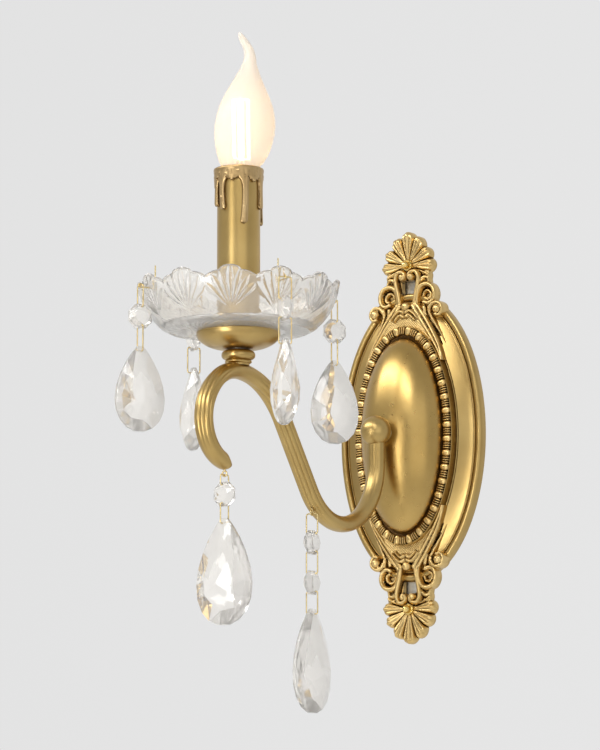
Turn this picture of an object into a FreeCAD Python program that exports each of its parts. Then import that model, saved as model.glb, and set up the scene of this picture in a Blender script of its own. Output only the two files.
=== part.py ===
"""Crystal wall sconce: a cast brass wall plate with a domed boss, one S-shaped arm, a pressed glass
bobeche on a brass cup, a candle sleeve with a drip cap, a bent-tip lamp and six strings of crystals.

Frame: +Z up, wall plane at Y = 0, the sconce stands out towards -Y, origin at the middle of the plate's
back.  Lengths are millimetres, angles degrees.
"""
import FreeCAD, Part
import math
import os
import re
import Sketcher
from FreeCAD import Placement, Rotation, Vector

SIZES = (
    # oval wall plate: half width and half height, and the moulding from the rim inwards
    ("plate_half_width", 50.4),
    ("plate_half_height", 88.0),
    ("rim_height", 5.8),
    ("rim_width", 4.2),
    ("rim_groove_depth", 1.5),
    ("band_width", 10.4),
    ("band_height", 8.0),
    ("band_end_width", 15.7),
    ("step_inset", 1.7),
    ("step_height", 13.4),
    ("ring_seat_sink", 1.0),
    ("ring_seat_depth", "=step_height - ring_seat_sink"),
    ("cast_wall", 2.0),
    ("ornament_thickness", 6.4),
    ("back_recess", 1.2),
    ("seat_clearance", 0.3),
    # bead-and-reel ring and the dome inside it
    ("ring_width", 5.4),
    ("ring_half_width", "=plate_half_width - rim_width - band_width - step_inset - ring_width / 2"),
    ("ring_half_height", "=plate_half_height - rim_width - band_end_width - step_inset - ring_width / 2"),
    ("ring_rise", 1.2),
    ("bead_count", 36),
    ("bead_radius", 1.95),
    ("dome_gap", 3.0),
    ("dome_rise", 21.0),
    ("dome_wall", 1.4),
    # ornament: shell round each cap nut, scroll loops, leaf volutes
    ("nut_above", 16.7),
    ("nut_height", "=plate_half_height + nut_above"),
    ("shell_reach", 20.8),
    ("shell_side_reach", 18.2),
    ("loop_half_spacing", 13.2),
    ("loop_below", 2.0),
    ("loop_height", "=plate_half_height - loop_below"),
    ("loop_radius", 5.4),
    ("loop_tube", 1.9),
    ("window_width", 9.6),
    ("window_height", 11.0),
    ("window_above", 2.2),
    ("window_middle", "=plate_half_height + window_above"),
    ("volute_half_spacing", 23.6),
    ("volute_below", 11.8),
    ("volute_height", "=plate_half_height - volute_below"),
    ("volute_radius", 3.6),
    # wall strap with its studs
    ("strap_width", 18.0),
    ("strap_thickness", 1.6),
    ("strap_end", 7.0),
    ("slot_spacing", 60.0),
    ("slot_length", 14.0),
    ("slot_width", 4.6),
    ("wire_hole_radius", 7.0),
    ("stud_radius", 2.0),
    ("stud_clearance", 0.1),
    ("hex_across", 7.0),
    ("hex_height", 2.4),
    ("cap_nut_radius", 3.3),
    ("cap_nut_height", 5.4),
    # arm
    ("ball_radius", 9.2),
    ("ball_dip", 0.1),
    ("ball_out", "=step_height + dome_rise + ball_radius - ball_dip"),
    ("ball_height", -0.9),
    ("arm_drop", 20.0),
    ("bend_radius", 39.4),
    ("rise_angle", 54.5),
    ("candle_reach", 187.0),
    ("arm_top", 17.6),
    ("crook_radius", 35.0),
    ("crook_turn", 64.6),
    ("tip_radius", 23.5),
    ("tip_turn", 112.5),
    ("arm_half_width", 5.7),
    ("arm_half_height", 4.75),
    ("arm_bore", 3.0),
    ("socket_depth", 2.0),
    ("arm_tube_behind", 14.0),
    ("arm_tube_gap", 0.5),
    ("arm_washer_stand", 1.2),
    ("arm_end_radius", 3.0),
    ("arm_end_wall", 4.0),
    # knuckle, cup, threaded tube and the fasteners on it
    ("knuckle_radius", 9.65),
    ("knuckle_half_height", 4.55),
    ("knuckle_saddle", 1.1),
    ("knuckle_flat", 0.4),
    ("knuckle_lift", "=arm_half_height + knuckle_half_height - knuckle_saddle"),
    ("cup_foot", "=arm_top + knuckle_lift + knuckle_half_height - knuckle_flat"),
    ("cup_foot_radius", 7.8),
    ("cup_radius", 24.0),
    ("cup_height", 10.0),
    ("cup_rim", "=cup_foot + cup_height"),
    ("cup_wall", 1.2),
    ("cup_curve", 34.0),
    ("tube_radius", 5.0),
    ("tube_bore", 3.6),
    ("tube_above", 18.0),
    ("thread_clearance", 0.05),
    ("flat_nut_across", 14.0),
    ("flat_nut_height", 3.0),
    ("arm_washer_radius", 7.2),
    ("washer_play", 0.55),
    ("washer_radius", "=sleeve_radius - sleeve_wall - washer_play"),
    ("washer_thickness", 1.2),
    # glass bobeche
    ("bobeche_radius", 58.2),
    ("bobeche_foot_radius", 41.0),
    ("bobeche_height", 29.6),
    ("bobeche_wall", 3.2),
    ("bobeche_floor", 4.6),
    ("glass_floor", "=cup_rim + bobeche_floor"),
    ("glass_top", "=cup_rim + bobeche_height"),
    ("belly_inset", 6.6),
    ("belly_height", 9.0),
    ("belly_floor_rise", 1.2),
    ("bobeche_turn", 30.0),
    ("bobeche_side_curve", 62.0),
    ("lobe_count", 12),
    ("lobe_depth", 5.8),
    ("first_lobe_angle", -30.0),
    ("rim_hole_drop", 8.2),
    ("rim_hole_play", 0.4),
    ("rim_hole_radius", "=wire_radius + rim_hole_play"),
    # candle sleeve and drip cap
    ("sleeve_radius", 12.35),
    ("sleeve_wall", 0.8),
    ("candle_height", 90.05),
    ("cap_top", "=glass_floor + candle_height"),
    ("cap_clearance", 0.15),
    ("cap_wall", 1.7),
    ("cap_lip", 0.45),
    ("cap_mouth", "=sleeve_radius - cap_lip"),
    ("cap_skirt", 6.6),
    ("drip_radius", 2.0),
    ("drip_proud", 0.5),
    ("drip_flare_height", 7.5),
    ("drip_flare_start", 6.0),
    ("drip_root", 2.5),
    ("cap_edge_round", 1.2),
    # lampholder and lamp
    ("holder_below_cap", 14.6),
    ("holder_top", "=cap_top - holder_below_cap"),
    ("holder_floor", 5.0),
    ("holder_lip", 4.5),
    ("contact_height", 1.2),
    ("contact_gap", 0.3),
    ("holder_depth", "=holder_floor + contact_height + contact_gap + lamp_cap_length + holder_lip"),
    ("holder_play", 0.95),
    ("holder_radius", "=sleeve_radius - sleeve_wall - holder_play"),
    ("shell_radius", 7.3),
    ("shell_wall", 0.35),
    ("bracket_wall", 1.6),
    ("bracket_width", 12.6),
    ("bracket_play", 0.23),
    ("bracket_half_span",
     "=sqrt((sleeve_radius - sleeve_wall - bracket_play) ^ 2 - (bracket_width / 2) ^ 2)"),
    ("bracket_grip", 6.0),
    ("lamp_cap_length", 21.0),
    ("lamp_cap_wall", 0.4),
    ("lamp_cap_chamfer", 1.6),
    ("insulator_height", 2.4),
    ("pad_radius", 2.2),
    ("pad_height", 0.9),
    ("glass_above", 80.4),
    ("bulb_radius", 17.5),
    ("neck_play", 0.05),
    ("bulb_neck_radius",
     "=shell_radius - shell_wall - 2 * lamp_clearance - lamp_cap_wall - neck_play"),
    ("bulb_wall", 0.8),
    ("bulb_lean", 6.3),
    ("filament_radius", 0.75),
    ("filament_spread", 3.4),
    ("filament_length", 32.0),
    ("filament_shift", 1.6),
    ("stem_height", 26.0),
    ("stem_waist", 9.0),
    ("stem_radius", 1.9),
    ("stem_tip_radius", 1.2),
    ("lamp_clearance", 0.1),
    # crystal strings
    ("wire_radius", 0.4),
    ("hole_clearance", 0.08),
    ("bar_play", 0.12),
    ("link_play", 0.3),
    ("link_half_width", "=octagon_half_thickness + wire_radius + link_play"),
    ("octagon_width", 13.8),
    ("octagon_half_thickness", 3.2),
    ("bead_girdle", 0.8),
    ("drop_girdle", 1.0),
    ("hole_inset", 1.8),
    ("octagon_hole", "=octagon_width / 2 - hole_inset"),
    ("rim_clip_length", 12.6),
    ("rim_link_length", 15.0),
    ("tip_clip_length", 6.0),
    ("tip_link_length", 11.6),
    ("bend_clip_length", 11.7),
    ("bend_link_length", 13.2),
    ("string_stand_off", 2.9),
    ("hook_free_end", 13.0),
    ("hook_bend", 1.0),
    ("small_drop_length", 48.5),
    ("small_drop_width", 30.0),
    ("small_drop_half_thickness", 7.6),
    ("large_drop_length", 60.4),
    ("large_drop_width", 37.4),
    ("large_drop_half_thickness", 9.0),
    ("drop_hole", 3.0),
    ("eye_radius", 1.5),
    ("eye_wire", 0.45),
    ("eye_stalk", 0.2),
    ("tip_eye_turn", 4.4),
    ("bend_eye_turn", 7.3),
)

doc = FreeCAD.newDocument("crystal_wall_sconce")
sheet = doc.addObject("Spreadsheet::Sheet", "sizes")
for row, (alias, _) in enumerate(SIZES, start=1):
    sheet.set("A%d" % row, alias)
    sheet.setAlias("B%d" % row, alias)
for row, (_, number) in enumerate(SIZES, start=1):
    sheet.set("B%d" % row, str(number))
doc.recompute()

size = {alias: float(sheet.get(alias)) for alias, _ in SIZES}
nodes = []


# ---------------------------------------------------------------- helpers

def on_sheet(text):
    """The expression with each alias spelled out as a cell of the sheet."""
    return re.sub(r"\b([a-z]+(?:_[a-z]+)+)\b", r"sizes.\1", text)


def value(text):
    """Number that an expression on the sheet gives."""
    result = sheet.evalExpression(on_sheet(text))
    return float(getattr(result, "Value", result))


def bind(obj, prop, text):
    obj.setExpression(prop, on_sheet(text))


def keep(obj, label):
    """Name a finished sub-part and list it for export."""
    obj.Label = label
    nodes.append(obj)
    return obj


def place(obj, x="0", y="0", z="0", rotation=None):
    """Bind a position to the sheet, with a fixed turn."""
    base = Vector(value(x), value(y), value(z))
    obj.Placement = Placement(base, rotation or Rotation())
    for axis, text in (("x", x), ("y", y), ("z", z)):
        if text != "0":
            bind(obj, "Placement.Base." + axis, text)
    return obj


def origin_item(body, role):
    return [item for item in body.Origin.OriginFeatures if item.Role == role][0]


def corner_sketch(body, name, role, corners):
    """Closed outline in a body's own plane.

    Each corner is (x, y) or (x, y, radius): the edge from it to the next corner is straight, or an arc of
    that radius, left-hand when the radius is positive and right-hand when it is negative.
    """
    sketch = body.newObject("Sketcher::SketchObject", name)
    sketch.AttachmentSupport = (origin_item(body, role), [""])
    sketch.MapMode = "FlatFace"
    points = [Vector(value(c[0]), value(c[1]), 0) for c in corners]
    count = len(points)
    for i, corner in enumerate(corners):
        start, end = points[i], points[(i + 1) % count]
        if len(corner) == 3:
            radius = value(corner[2])
            chord = end - start
            lean = Vector(-chord.y, chord.x, 0).normalize()
            sag = abs(radius) - math.sqrt(radius ** 2 - chord.Length ** 2 / 4)
            middle = (start + end) * 0.5 - lean * math.copysign(sag, radius)
            first, last = (start, end) if radius > 0 else (end, start)
            sketch.addGeometry(Part.Arc(first, middle, last))
        else:
            sketch.addGeometry(Part.LineSegment(start, end))
    ends = []
    for i, corner in enumerate(corners):
        clockwise = len(corner) == 3 and value(corner[2]) < 0
        ends.append((2, 1) if clockwise else (1, 2))
    for i, corner in enumerate(corners):
        following = (i + 1) % count
        sketch.addConstraint(Sketcher.Constraint("Coincident", i, ends[i][1], following, ends[following][0]))
        for kind, axis, text, number in (("DistanceX", -2, corner[0], points[i].x),
                                         ("DistanceY", -1, corner[1], points[i].y)):
            if abs(number) < 1e-9:
                sketch.addConstraint(Sketcher.Constraint("PointOnObject", i, ends[i][0], axis))
                continue
            index = sketch.addConstraint(Sketcher.Constraint(kind, -1, 1, i, ends[i][0], number))
            bind(sketch, "Constraints[%d]" % index, text)
        if len(corner) == 3:
            radius = abs(value(corner[2]))
            index = sketch.addConstraint(Sketcher.Constraint("Radius", i, radius))
            bind(sketch, "Constraints[%d]" % index, "abs(%s)" % corner[2])
    return sketch


def turned(label, profile, x="0", y="0"):
    """Body turned about a vertical axis from a half section of (radius, height) corners."""
    body = doc.addObject("PartDesign::Body", label)
    sketch = corner_sketch(body, label + "_section", "XZ_Plane", profile)
    turn = body.newObject("PartDesign::Revolution", label + "_turning")
    turn.Profile = sketch
    turn.ReferenceAxis = (sketch, ["V_Axis"])
    turn.Angle = 360
    body.Tip = turn
    place(body, x=x, y=y)
    return body


def padded(label, role, corners, depth):
    """Body made from one outline and a thickness."""
    body = doc.addObject("PartDesign::Body", label)
    sketch = corner_sketch(body, label + "_outline", role, corners)
    pad = body.newObject("PartDesign::Pad", label + "_pad")
    pad.Profile = sketch
    bind(pad, "Length", depth)
    body.Tip = pad
    return body


def primitive(kind, name, **sizes_by_property):
    obj = doc.addObject("Part::" + kind, name)
    for prop, text in sizes_by_property.items():
        bind(obj, prop, text)
    return obj


def joined(name, *pieces):
    result = doc.addObject("Part::MultiFuse", name)
    result.Shapes = list(pieces)
    return result


def cut_from(name, base, *tools):
    """The base less its tools."""
    result = doc.addObject("Part::Cut", name)
    result.Base = base
    result.Tool = tools[0] if len(tools) == 1 else joined(name + "_tools", *tools)
    return result


def shaped(label, shape, placement=None):
    """Document object that holds a shape worked out from the sheet."""
    obj = doc.addObject("Part::Feature", label)
    obj.Shape = shape
    if placement:
        obj.Placement = placement
    return obj


def oval_wire(half_x, half_z, depth):
    """Ellipse about the plate's axis, at a distance in front of the wall."""
    ellipse = Part.Ellipse(Vector(0, -depth, half_z), Vector(half_x, -depth, 0), Vector(0, -depth, 0))
    return Part.Wire([ellipse.toShape()])


def oval_stack(sections):
    """Solid through ovals of (half width, half height, depth), straight from each to the next."""
    return Part.makeLoft([oval_wire(*section) for section in sections], True, True)


def facets_solid(faces):
    """Closed solid from flat faces given as lists of points."""
    shell = Part.Shell([Part.Face(Part.makePolygon(list(face) + [face[0]])) for face in faces])
    solid = Part.Solid(shell)
    if solid.Volume < 0:
        solid.reverse()
    return solid


# ---------------------------------------------------------------- wall plate

TO_FRONT = Rotation(Vector(1, 0, 0), 90)


def plate_moulding():
    """Oval body: rounded rim, groove, rising cove band, step and the seat of the bead ring."""
    a, b = size["plate_half_width"], size["plate_half_height"]
    rim, wide = size["rim_height"], size["rim_width"]
    groove = rim - size["rim_groove_depth"]
    inner = wide + 0.6 + size["band_width"]
    ring_a, ring_b = size["ring_half_width"], size["ring_half_height"]
    seat = size["ring_width"] / 2
    step_a, step_b = ring_a + seat + 0.3, ring_b + seat + 0.3
    outer = oval_stack([
        (a, b, 0), (a, b, rim - 2.2), (a - 0.7, b - 0.7, rim - 0.6), (a - wide / 2, b - wide / 2, rim),
        (a - wide + 0.4, b - wide + 0.4, rim - 0.6), (a - wide, b - wide, groove),
        (a - wide - 0.6, b - wide - 0.6, groove + 0.2), (a - inner, step_b + 1.6, size["band_height"]),
        (step_a + 0.6, step_b + 0.6, size["step_height"] - 1.2), (step_a, step_b, size["step_height"]),
        (ring_a + seat, ring_b + seat, size["ring_seat_depth"]),
    ])
    wall = size["cast_wall"]
    hollow = oval_stack([
        (a - wall, b - wall, 0), (a - wall, b - wall, rim - wall - 1.6),
        (a - wide - 0.6, b - wide - 0.6, groove - wall),
        (a - inner - 0.4, step_b + 0.4, size["band_height"] - wall),
        (step_a - wall, step_b - wall, size["ring_seat_depth"] - wall),
    ])
    inside_a = ring_a - size["ring_width"] / 2 - size["dome_gap"]
    inside_b = ring_b - size["ring_width"] / 2 - size["dome_gap"]
    opening = oval_stack([(inside_a, inside_b, 0), (inside_a, inside_b, size["step_height"])])
    return outer.cut(hollow.fuse(opening))


def ornament_base():
    """Flat cast ground of the upper ornament: shell, scroll loops and volutes in one outline, pierced."""
    deep = size["ornament_thickness"]
    nut, loops, volutes = size["nut_height"], size["loop_height"], size["volute_height"]
    side, reach = size["shell_side_reach"], size["shell_reach"]
    right = [
        (0, nut + reach), (side * 0.72, nut + reach * 0.66), (side + 0.4, nut), (side - 3.2, nut - 6.0),
        (side - 3.6, loops + 9.4), (size["loop_half_spacing"] + size["loop_radius"] + 2.2, loops),
        (size["loop_half_spacing"] + size["loop_radius"] + 2.0, volutes + 5.0),
        (size["volute_half_spacing"] + size["volute_radius"], volutes),
        (size["volute_half_spacing"] + size["volute_radius"] + 1.5, volutes - 8.0),
    ]
    points = [Vector(x, 0, z) for x, z in right]
    edges = [Part.Arc(points[0], Vector(side * 0.42, 0, nut + reach * 0.93), points[1]).toShape(),
             Part.Arc(points[1], Vector(side * 0.97, 0, nut + reach * 0.36), points[2]).toShape(),
             Part.LineSegment(points[2], points[3]).toShape(),
             Part.LineSegment(points[3], points[4]).toShape(),
             Part.Arc(points[4], Vector(points[5].x - 1.2, 0, loops + 5.4), points[5]).toShape(),
             Part.LineSegment(points[5], points[6]).toShape(),
             Part.Arc(points[6], Vector(points[7].x - 0.8, 0, volutes + 3.4), points[7]).toShape(),
             Part.LineSegment(points[7], points[8]).toShape(),
             Part.LineSegment(points[8], Vector(0, 0, points[8].z)).toShape(),
             Part.LineSegment(Vector(0, 0, points[8].z), points[0]).toShape()]
    half = Part.Face(Part.Wire(edges)).extrude(Vector(0, -deep, 0))
    whole = half.fuse(half.mirror(Vector(), Vector(1, 0, 0))).removeSplitter()
    window = Part.makeBox(size["window_width"], deep * 2, size["window_height"],
                          Vector(-size["window_width"] / 2, -deep * 1.5, size["window_middle"]
                                 - size["window_height"] / 2))
    stud_hole = Part.makeCylinder(size["stud_radius"] + size["stud_clearance"], deep * 4,
                                  Vector(0, deep, nut), Vector(0, -1, 0))
    return whole.cut(window.fuse(stud_hole)), stud_hole


def shell_ribs():
    """Nine tapered ribs with round ends, fanning out round the cap nut."""
    ribs = []
    nut, deep = size["nut_height"], size["ornament_thickness"]
    for step in range(-4, 5):
        angle = math.radians(22.5 * step)
        lift = abs(math.cos(angle))
        reach = size["shell_side_reach"] + (size["shell_reach"] - size["shell_side_reach"]) * lift - 2.6
        along = Vector(math.sin(angle), 0, math.cos(angle))
        start = Vector(0, -deep, nut) + along * (size["cap_nut_radius"] + size["seat_clearance"])
        end = Vector(0, -deep, nut) + along * reach
        ribs.append(Part.makeCone(0.7, 2.3, (end - start).Length, start, along))
        ribs.append(Part.makeSphere(2.3, end))
    return ribs


def scrolls():
    """Raised loops, outward volutes, the two leaf stems that run down the oval, and the bud between."""
    deep = size["ornament_thickness"]
    pieces = []
    for side in (-1, 1):
        middle = Vector(side * size["loop_half_spacing"], -deep, size["loop_height"])
        pieces.append(Part.makeTorus(size["loop_radius"] - 0.6, size["loop_tube"], middle, Vector(0, 1, 0)))
        volute = Vector(side * size["volute_half_spacing"], -deep - 1.5, size["volute_height"])
        pieces.append(Part.makeSphere(size["volute_radius"], volute))
        for start_x, end_x, end_z in ((8.0, 15.0, 69.5), (14.0, 24.5, 63.0), (20.0, 31.5, 54.0)):
            start = Vector(side * start_x, -deep - 2.0, 80.5)
            end = Vector(side * end_x, -deep - 4.4, end_z)
            pieces.append(Part.makeCone(2.4, 0.9, (end - start).Length, start, end - start))
    bud = Vector(0, -deep, size["volute_height"] + 5.5)
    pieces.append(Part.makeSphere(4.0, bud, Vector(0.3, 1, 0.2)))
    return pieces


def strap_recess():
    """Room in the plate's back for the wall strap and, deeper, for its two lock nuts."""
    gap = size["seat_clearance"]
    half, end = size["strap_width"] / 2 + gap, size["nut_height"] + size["strap_end"] + gap
    deep = size["strap_thickness"] + gap
    recess = Part.makeBox(2 * half, deep + 5, 2 * end, Vector(-half, -deep, -end))
    for side in (1, -1):
        nut = Part.makeCylinder(size["hex_across"] / math.sqrt(3) + gap, deep + size["hex_height"],
                                Vector(0, 0, side * size["nut_height"]), Vector(0, -1, 0))
        recess = recess.fuse(nut)
    return recess


def make_backplate():
    body = plate_moulding()
    ground, stud_hole = ornament_base()
    relief = ground.multiFuse(shell_ribs() + scrolls())
    ring_a = size["ring_half_width"] + size["ring_width"] / 2
    ring_b = size["ring_half_height"] + size["ring_width"] / 2
    keep_clear = oval_stack([(ring_a + 0.5, ring_b + 0.5, -1), (ring_a + 0.5, ring_b + 0.5, 30)])
    a = size["plate_half_width"] - size["cast_wall"] / 2
    b = size["plate_half_height"] - size["cast_wall"] / 2
    behind = oval_stack([(a, b, -1), (a, b, size["back_recess"])])
    back_cut = Part.makeBox(200, 20, 400, Vector(-100, 0, -200))
    relief = relief.cut(keep_clear.fuse(behind)).cut(stud_hole.fuse(back_cut))
    lower = relief.mirror(Vector(), Vector(0, 0, 1))
    return body.multiFuse([relief, lower]).cut(strap_recess())


keep(shaped("backplate", make_backplate()), "backplate")


# ---------------------------------------------------------------- bead ring and dome

def make_bead_ring():
    """Flat oval strip with thirty-six beads at equal steps of its length."""
    a, b = size["ring_half_width"], size["ring_half_height"]
    half, seat = size["ring_width"] / 2 - 0.1, size["ring_seat_depth"]
    top = seat + size["ring_rise"]
    strip = oval_stack([(a + half, b + half, seat), (a + half, b + half, top)]).cut(
        oval_stack([(a - half, b - half, seat), (a - half, b - half, top)]))
    line = oval_wire(a, b, top)
    count = int(size["bead_count"])
    beads = [Part.makeSphere(size["bead_radius"], point)
             for point in line.discretize(Number=count + 1)[:-1]]
    back = Part.makeBox(200, 20, 400, Vector(-100, -seat, -200))
    return strip.multiFuse(beads).cut(back)


keep(shaped("bead_ring", make_bead_ring()), "bead_ring")


def make_dome():
    """Half ellipsoid on a flat flange that lies behind the plate, pierced for the arm's tube."""
    a = size["ring_half_width"] - size["ring_width"] / 2 - size["dome_gap"] - 0.15
    b = size["ring_half_height"] - size["ring_width"] / 2 - size["dome_gap"] - 0.15
    wall = size["dome_wall"]
    flange_top = size["ring_seat_depth"] - size["cast_wall"]
    front = Part.makeBox(200, 100, 400, Vector(-100, -100 - flange_top, -200))

    def ellipsoid(trim):
        turn = FreeCAD.Matrix()
        turn.scale(a - trim, size["dome_rise"] + size["step_height"] - flange_top - trim, b - trim)
        ball = Part.makeSphere(1.0).transformGeometry(turn)
        ball.translate(Vector(0, -flange_top, 0))
        return ball
    flange = oval_stack([(a + 4, b + 4, flange_top - wall), (a + 4, b + 4, flange_top)])
    mouth = oval_stack([(a - wall, b - wall, flange_top - 2 * wall), (a - wall, b - wall, flange_top)])
    dome = ellipsoid(0).common(front).fuse(flange).cut(ellipsoid(wall).common(front).fuse(mouth))
    hole = Part.makeCylinder(size["tube_radius"] + size["thread_clearance"], 60,
                             Vector(0, 0, size["ball_height"]), Vector(0, -1, 0))
    return dome.cut(hole)


keep(shaped("dome", make_dome()), "dome")


# ---------------------------------------------------------------- wall strap, studs, nuts

strap = padded("strap_blank", "XZ_Plane", [
    ("-strap_width/2", "-(nut_height + strap_end)"), ("strap_width/2", "-(nut_height + strap_end)"),
    ("strap_width/2", "nut_height + strap_end"), ("-strap_width/2", "nut_height + strap_end"),
], "strap_thickness")


def pocket(body, name, circles):
    """Round holes through a padded strap, each given as (height, radius)."""
    sketch = body.newObject("Sketcher::SketchObject", name)
    sketch.AttachmentSupport = (origin_item(body, "XZ_Plane"), [""])
    sketch.MapMode = "FlatFace"
    for height, radius in circles:
        index = sketch.addGeometry(Part.Circle(Vector(0, value(height), 0), Vector(0, 0, 1), value(radius)))
        number = sketch.addConstraint(Sketcher.Constraint("Radius", index, value(radius)))
        bind(sketch, "Constraints[%d]" % number, radius)
        if height == "0":
            sketch.addConstraint(Sketcher.Constraint("Coincident", index, 3, -1, 1))
            continue
        sketch.addConstraint(Sketcher.Constraint("PointOnObject", index, 3, -2))
        number = sketch.addConstraint(Sketcher.Constraint("DistanceY", -1, 1, index, 3, value(height)))
        bind(sketch, "Constraints[%d]" % number, height)
    cut = body.newObject("PartDesign::Pocket", name + "_cut")
    cut.Profile = sketch
    cut.Type = 1
    cut.Midplane = True
    body.Tip = cut
    return cut


pocket(strap, "strap_holes", [("0", "wire_hole_radius"), ("nut_height", "stud_radius + stud_clearance"),
                              ("-nut_height", "stud_radius + stud_clearance")])
slot_cutters = []
for side in ("", "-"):
    flat = primitive("Box", "slot_flat" + side, Length="slot_width", Width="strap_thickness * 4",
                     Height="slot_length - slot_width")
    place(flat, x="-slot_width/2", y="-strap_thickness * 2",
          z="%sslot_spacing/2 - (slot_length - slot_width)/2" % side)
    slot_cutters.append(flat)
    for end in ("+", "-"):
        round_end = primitive("Cylinder", "slot_end", Radius="slot_width/2", Height="strap_thickness * 4")
        place(round_end, y="strap_thickness * 2",
              z="%sslot_spacing/2 %s (slot_length - slot_width)/2" % (side, end), rotation=TO_FRONT)
        slot_cutters.append(round_end)
keep(cut_from("slotted_strap", strap, *slot_cutters), "wall_strap")


def hexagon(name, across, thickness, x, y, z, rotation=None):
    """Six-sided prism across its flats, base at the given point."""
    prism = primitive("Prism", name, Circumradius="%s / sqrt(3)" % across, Height=thickness)
    prism.Polygon = 6
    return place(prism, x=x, y=y, z=z, rotation=rotation)


def hollow(name, outer, inner, length, y, z, rotation=None):
    """Plain tube from its outer and inner radius and length, its first end at the given point."""
    blank = primitive("Cylinder", name + "_blank", Radius=outer, Height=length)
    hole = primitive("Cylinder", name + "_hole", Radius=inner, Height=length)
    place(blank, y=y, z=z, rotation=rotation)
    place(hole, y=y, z=z, rotation=rotation)
    return cut_from(name, blank, hole)


def bored(name, outer, radius, depth, x, y, z, rotation=None):
    """A piece with a round hole along its own axis."""
    hole = primitive("Cylinder", name + "_bore", Radius=radius, Height=depth)
    place(hole, x=x, y=y, z=z, rotation=rotation)
    return cut_from(name, outer, hole)


NUT_SEAT = "ornament_thickness"
studs, lock_nuts, cap_nuts = [], [], []
for side in ("", "-"):
    at = side + "nut_height"
    stud = primitive("Cylinder", "stud", Radius="stud_radius", Height="%s + cap_nut_height - 1" % NUT_SEAT)
    studs.append(place(stud, z=at, rotation=TO_FRONT))
    nut = hexagon("lock_nut_blank", "hex_across", "hex_height", "0", "-strap_thickness", at, TO_FRONT)
    lock_nuts.append(bored("lock_nut", nut, "stud_radius + thread_clearance", "hex_height + 2", "0",
                           "-strap_thickness + 1", at, TO_FRONT))
    skirt = primitive("Cylinder", "cap_skirt", Radius="cap_nut_radius", Height="cap_nut_height - 2")
    place(skirt, y="-(%s)" % NUT_SEAT, z=at, rotation=TO_FRONT)
    crown = primitive("Sphere", "cap_crown", Radius="cap_nut_radius")
    crown.Angle1 = 0
    place(crown, y="-(%s + cap_nut_height - 2)" % NUT_SEAT, z=at, rotation=TO_FRONT)
    cap = joined("cap_blank", skirt, crown)
    cap_nuts.append(bored("cap_nut", cap, "stud_radius + thread_clearance", "cap_nut_height", "0",
                          "-(%s) + 0.5" % NUT_SEAT, at, TO_FRONT))
keep(joined("stud_pair", *studs), "mounting_studs")
keep(joined("lock_nut_pair", *lock_nuts), "stud_lock_nuts")
keep(joined("cap_nut_pair", *cap_nuts), "cap_nuts")


# ---------------------------------------------------------------- arm

def arm_route(short):
    """Steps of the arm's centreline: (length, 0) for a straight, (radius, turn) for an arc, each tangent to
    the last.

    The straight rise and the arc over it are solved so that the crook's top lies on the candle's axis.
    The last arc ends a length short of the arm's end.
    """
    rise = math.radians(size["rise_angle"])
    bend, low = size["bend_radius"], size["ball_height"] - size["arm_drop"]
    out_left = size["candle_reach"] - size["ball_out"] - bend * (1 + math.sin(rise))
    up_left = size["arm_top"] - low + bend * math.cos(rise)
    back = (out_left * math.sin(rise) - up_left * math.cos(rise)) / (
        math.sin(rise) ** 2 - math.cos(rise) * (1 - math.cos(rise)))
    straight = (out_left - back * math.sin(rise)) / math.cos(rise)
    return [(size["arm_drop"], 0), (bend, 90 + size["rise_angle"]), (straight, 0),
            (back, -size["rise_angle"]), (size["crook_radius"], -size["crook_turn"]),
            (size["tip_radius"], math.degrees(short / size["tip_radius"]) - size["tip_turn"])]


def arm_steps(short=0.0):
    """Each step as (points, centre, radius, end heading), with points and centre as (out, up).

    Distances run outwards from the wall and upwards; a heading of zero points straight out.
    """
    start, heading, steps = Vector(size["ball_out"], size["ball_height"], 0), -90.0, []
    for amount, turn in arm_route(short):
        along = Rotation(Vector(0, 0, 1), heading).multVec(Vector(1, 0, 0))
        if not turn:
            points, centre = (start, start + along * amount), None
        else:
            centre = start + Vector(-along.y, along.x, 0) * math.copysign(amount, turn)
            points = [centre + Rotation(Vector(0, 0, 1), turn * share).multVec(start - centre)
                      for share in (0, 0.5, 1)]
            heading += turn
        steps.append((points, centre, amount, heading))
        start = points[-1]
    return steps


def arm_wire(short=0.0):
    """Centreline in the plane X = 0, from the ball down, round the bend and over the crook."""
    edges = []
    for points, _, _, _ in arm_steps(short):
        places = [Vector(0, -point.x, point.y) for point in points]
        edges.append(Part.LineSegment(*places).toShape() if len(places) == 2
                     else Part.Arc(*places).toShape())
    return Part.Wire(edges)


def arm_section(grow=0.0):
    """Oval cross section of the arm at its start under the ball."""
    centre = Vector(0, -size["ball_out"], size["ball_height"])
    half_x, half_y = size["arm_half_width"] + grow, size["arm_half_height"] + grow
    ellipse = Part.Ellipse(centre + Vector(half_x, 0, 0), centre + Vector(0, half_y, 0), centre)
    return Part.Wire([ellipse.toShape()])


def arm_sweep(section, short=0.0):
    return arm_wire(short).makePipeShell([section], True, False)


def make_arm():
    """Oval tube with a round bore for the wires; its far end is closed and rounded."""
    solid = arm_sweep(arm_section())
    end = arm_wire().Vertexes[-1].Point
    rim = [edge for edge in solid.Edges if (edge.CenterOfMass - end).Length < size["arm_end_radius"] / 4]
    bore = Part.Wire([Part.Circle(Vector(0, -size["ball_out"], size["ball_height"]), Vector(0, 0, 1),
                                  size["arm_bore"]).toShape()])
    wire_hole = Part.makeCylinder(size["arm_bore"], size["arm_half_height"] * 2,
                                  Vector(0, -size["candle_reach"], size["arm_top"]))
    return solid.makeFillet(size["arm_end_radius"], rim).cut(
        arm_sweep(bore, size["arm_end_wall"])).cut(wire_hole)


keep(shaped("arm", make_arm()), "arm")


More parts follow.
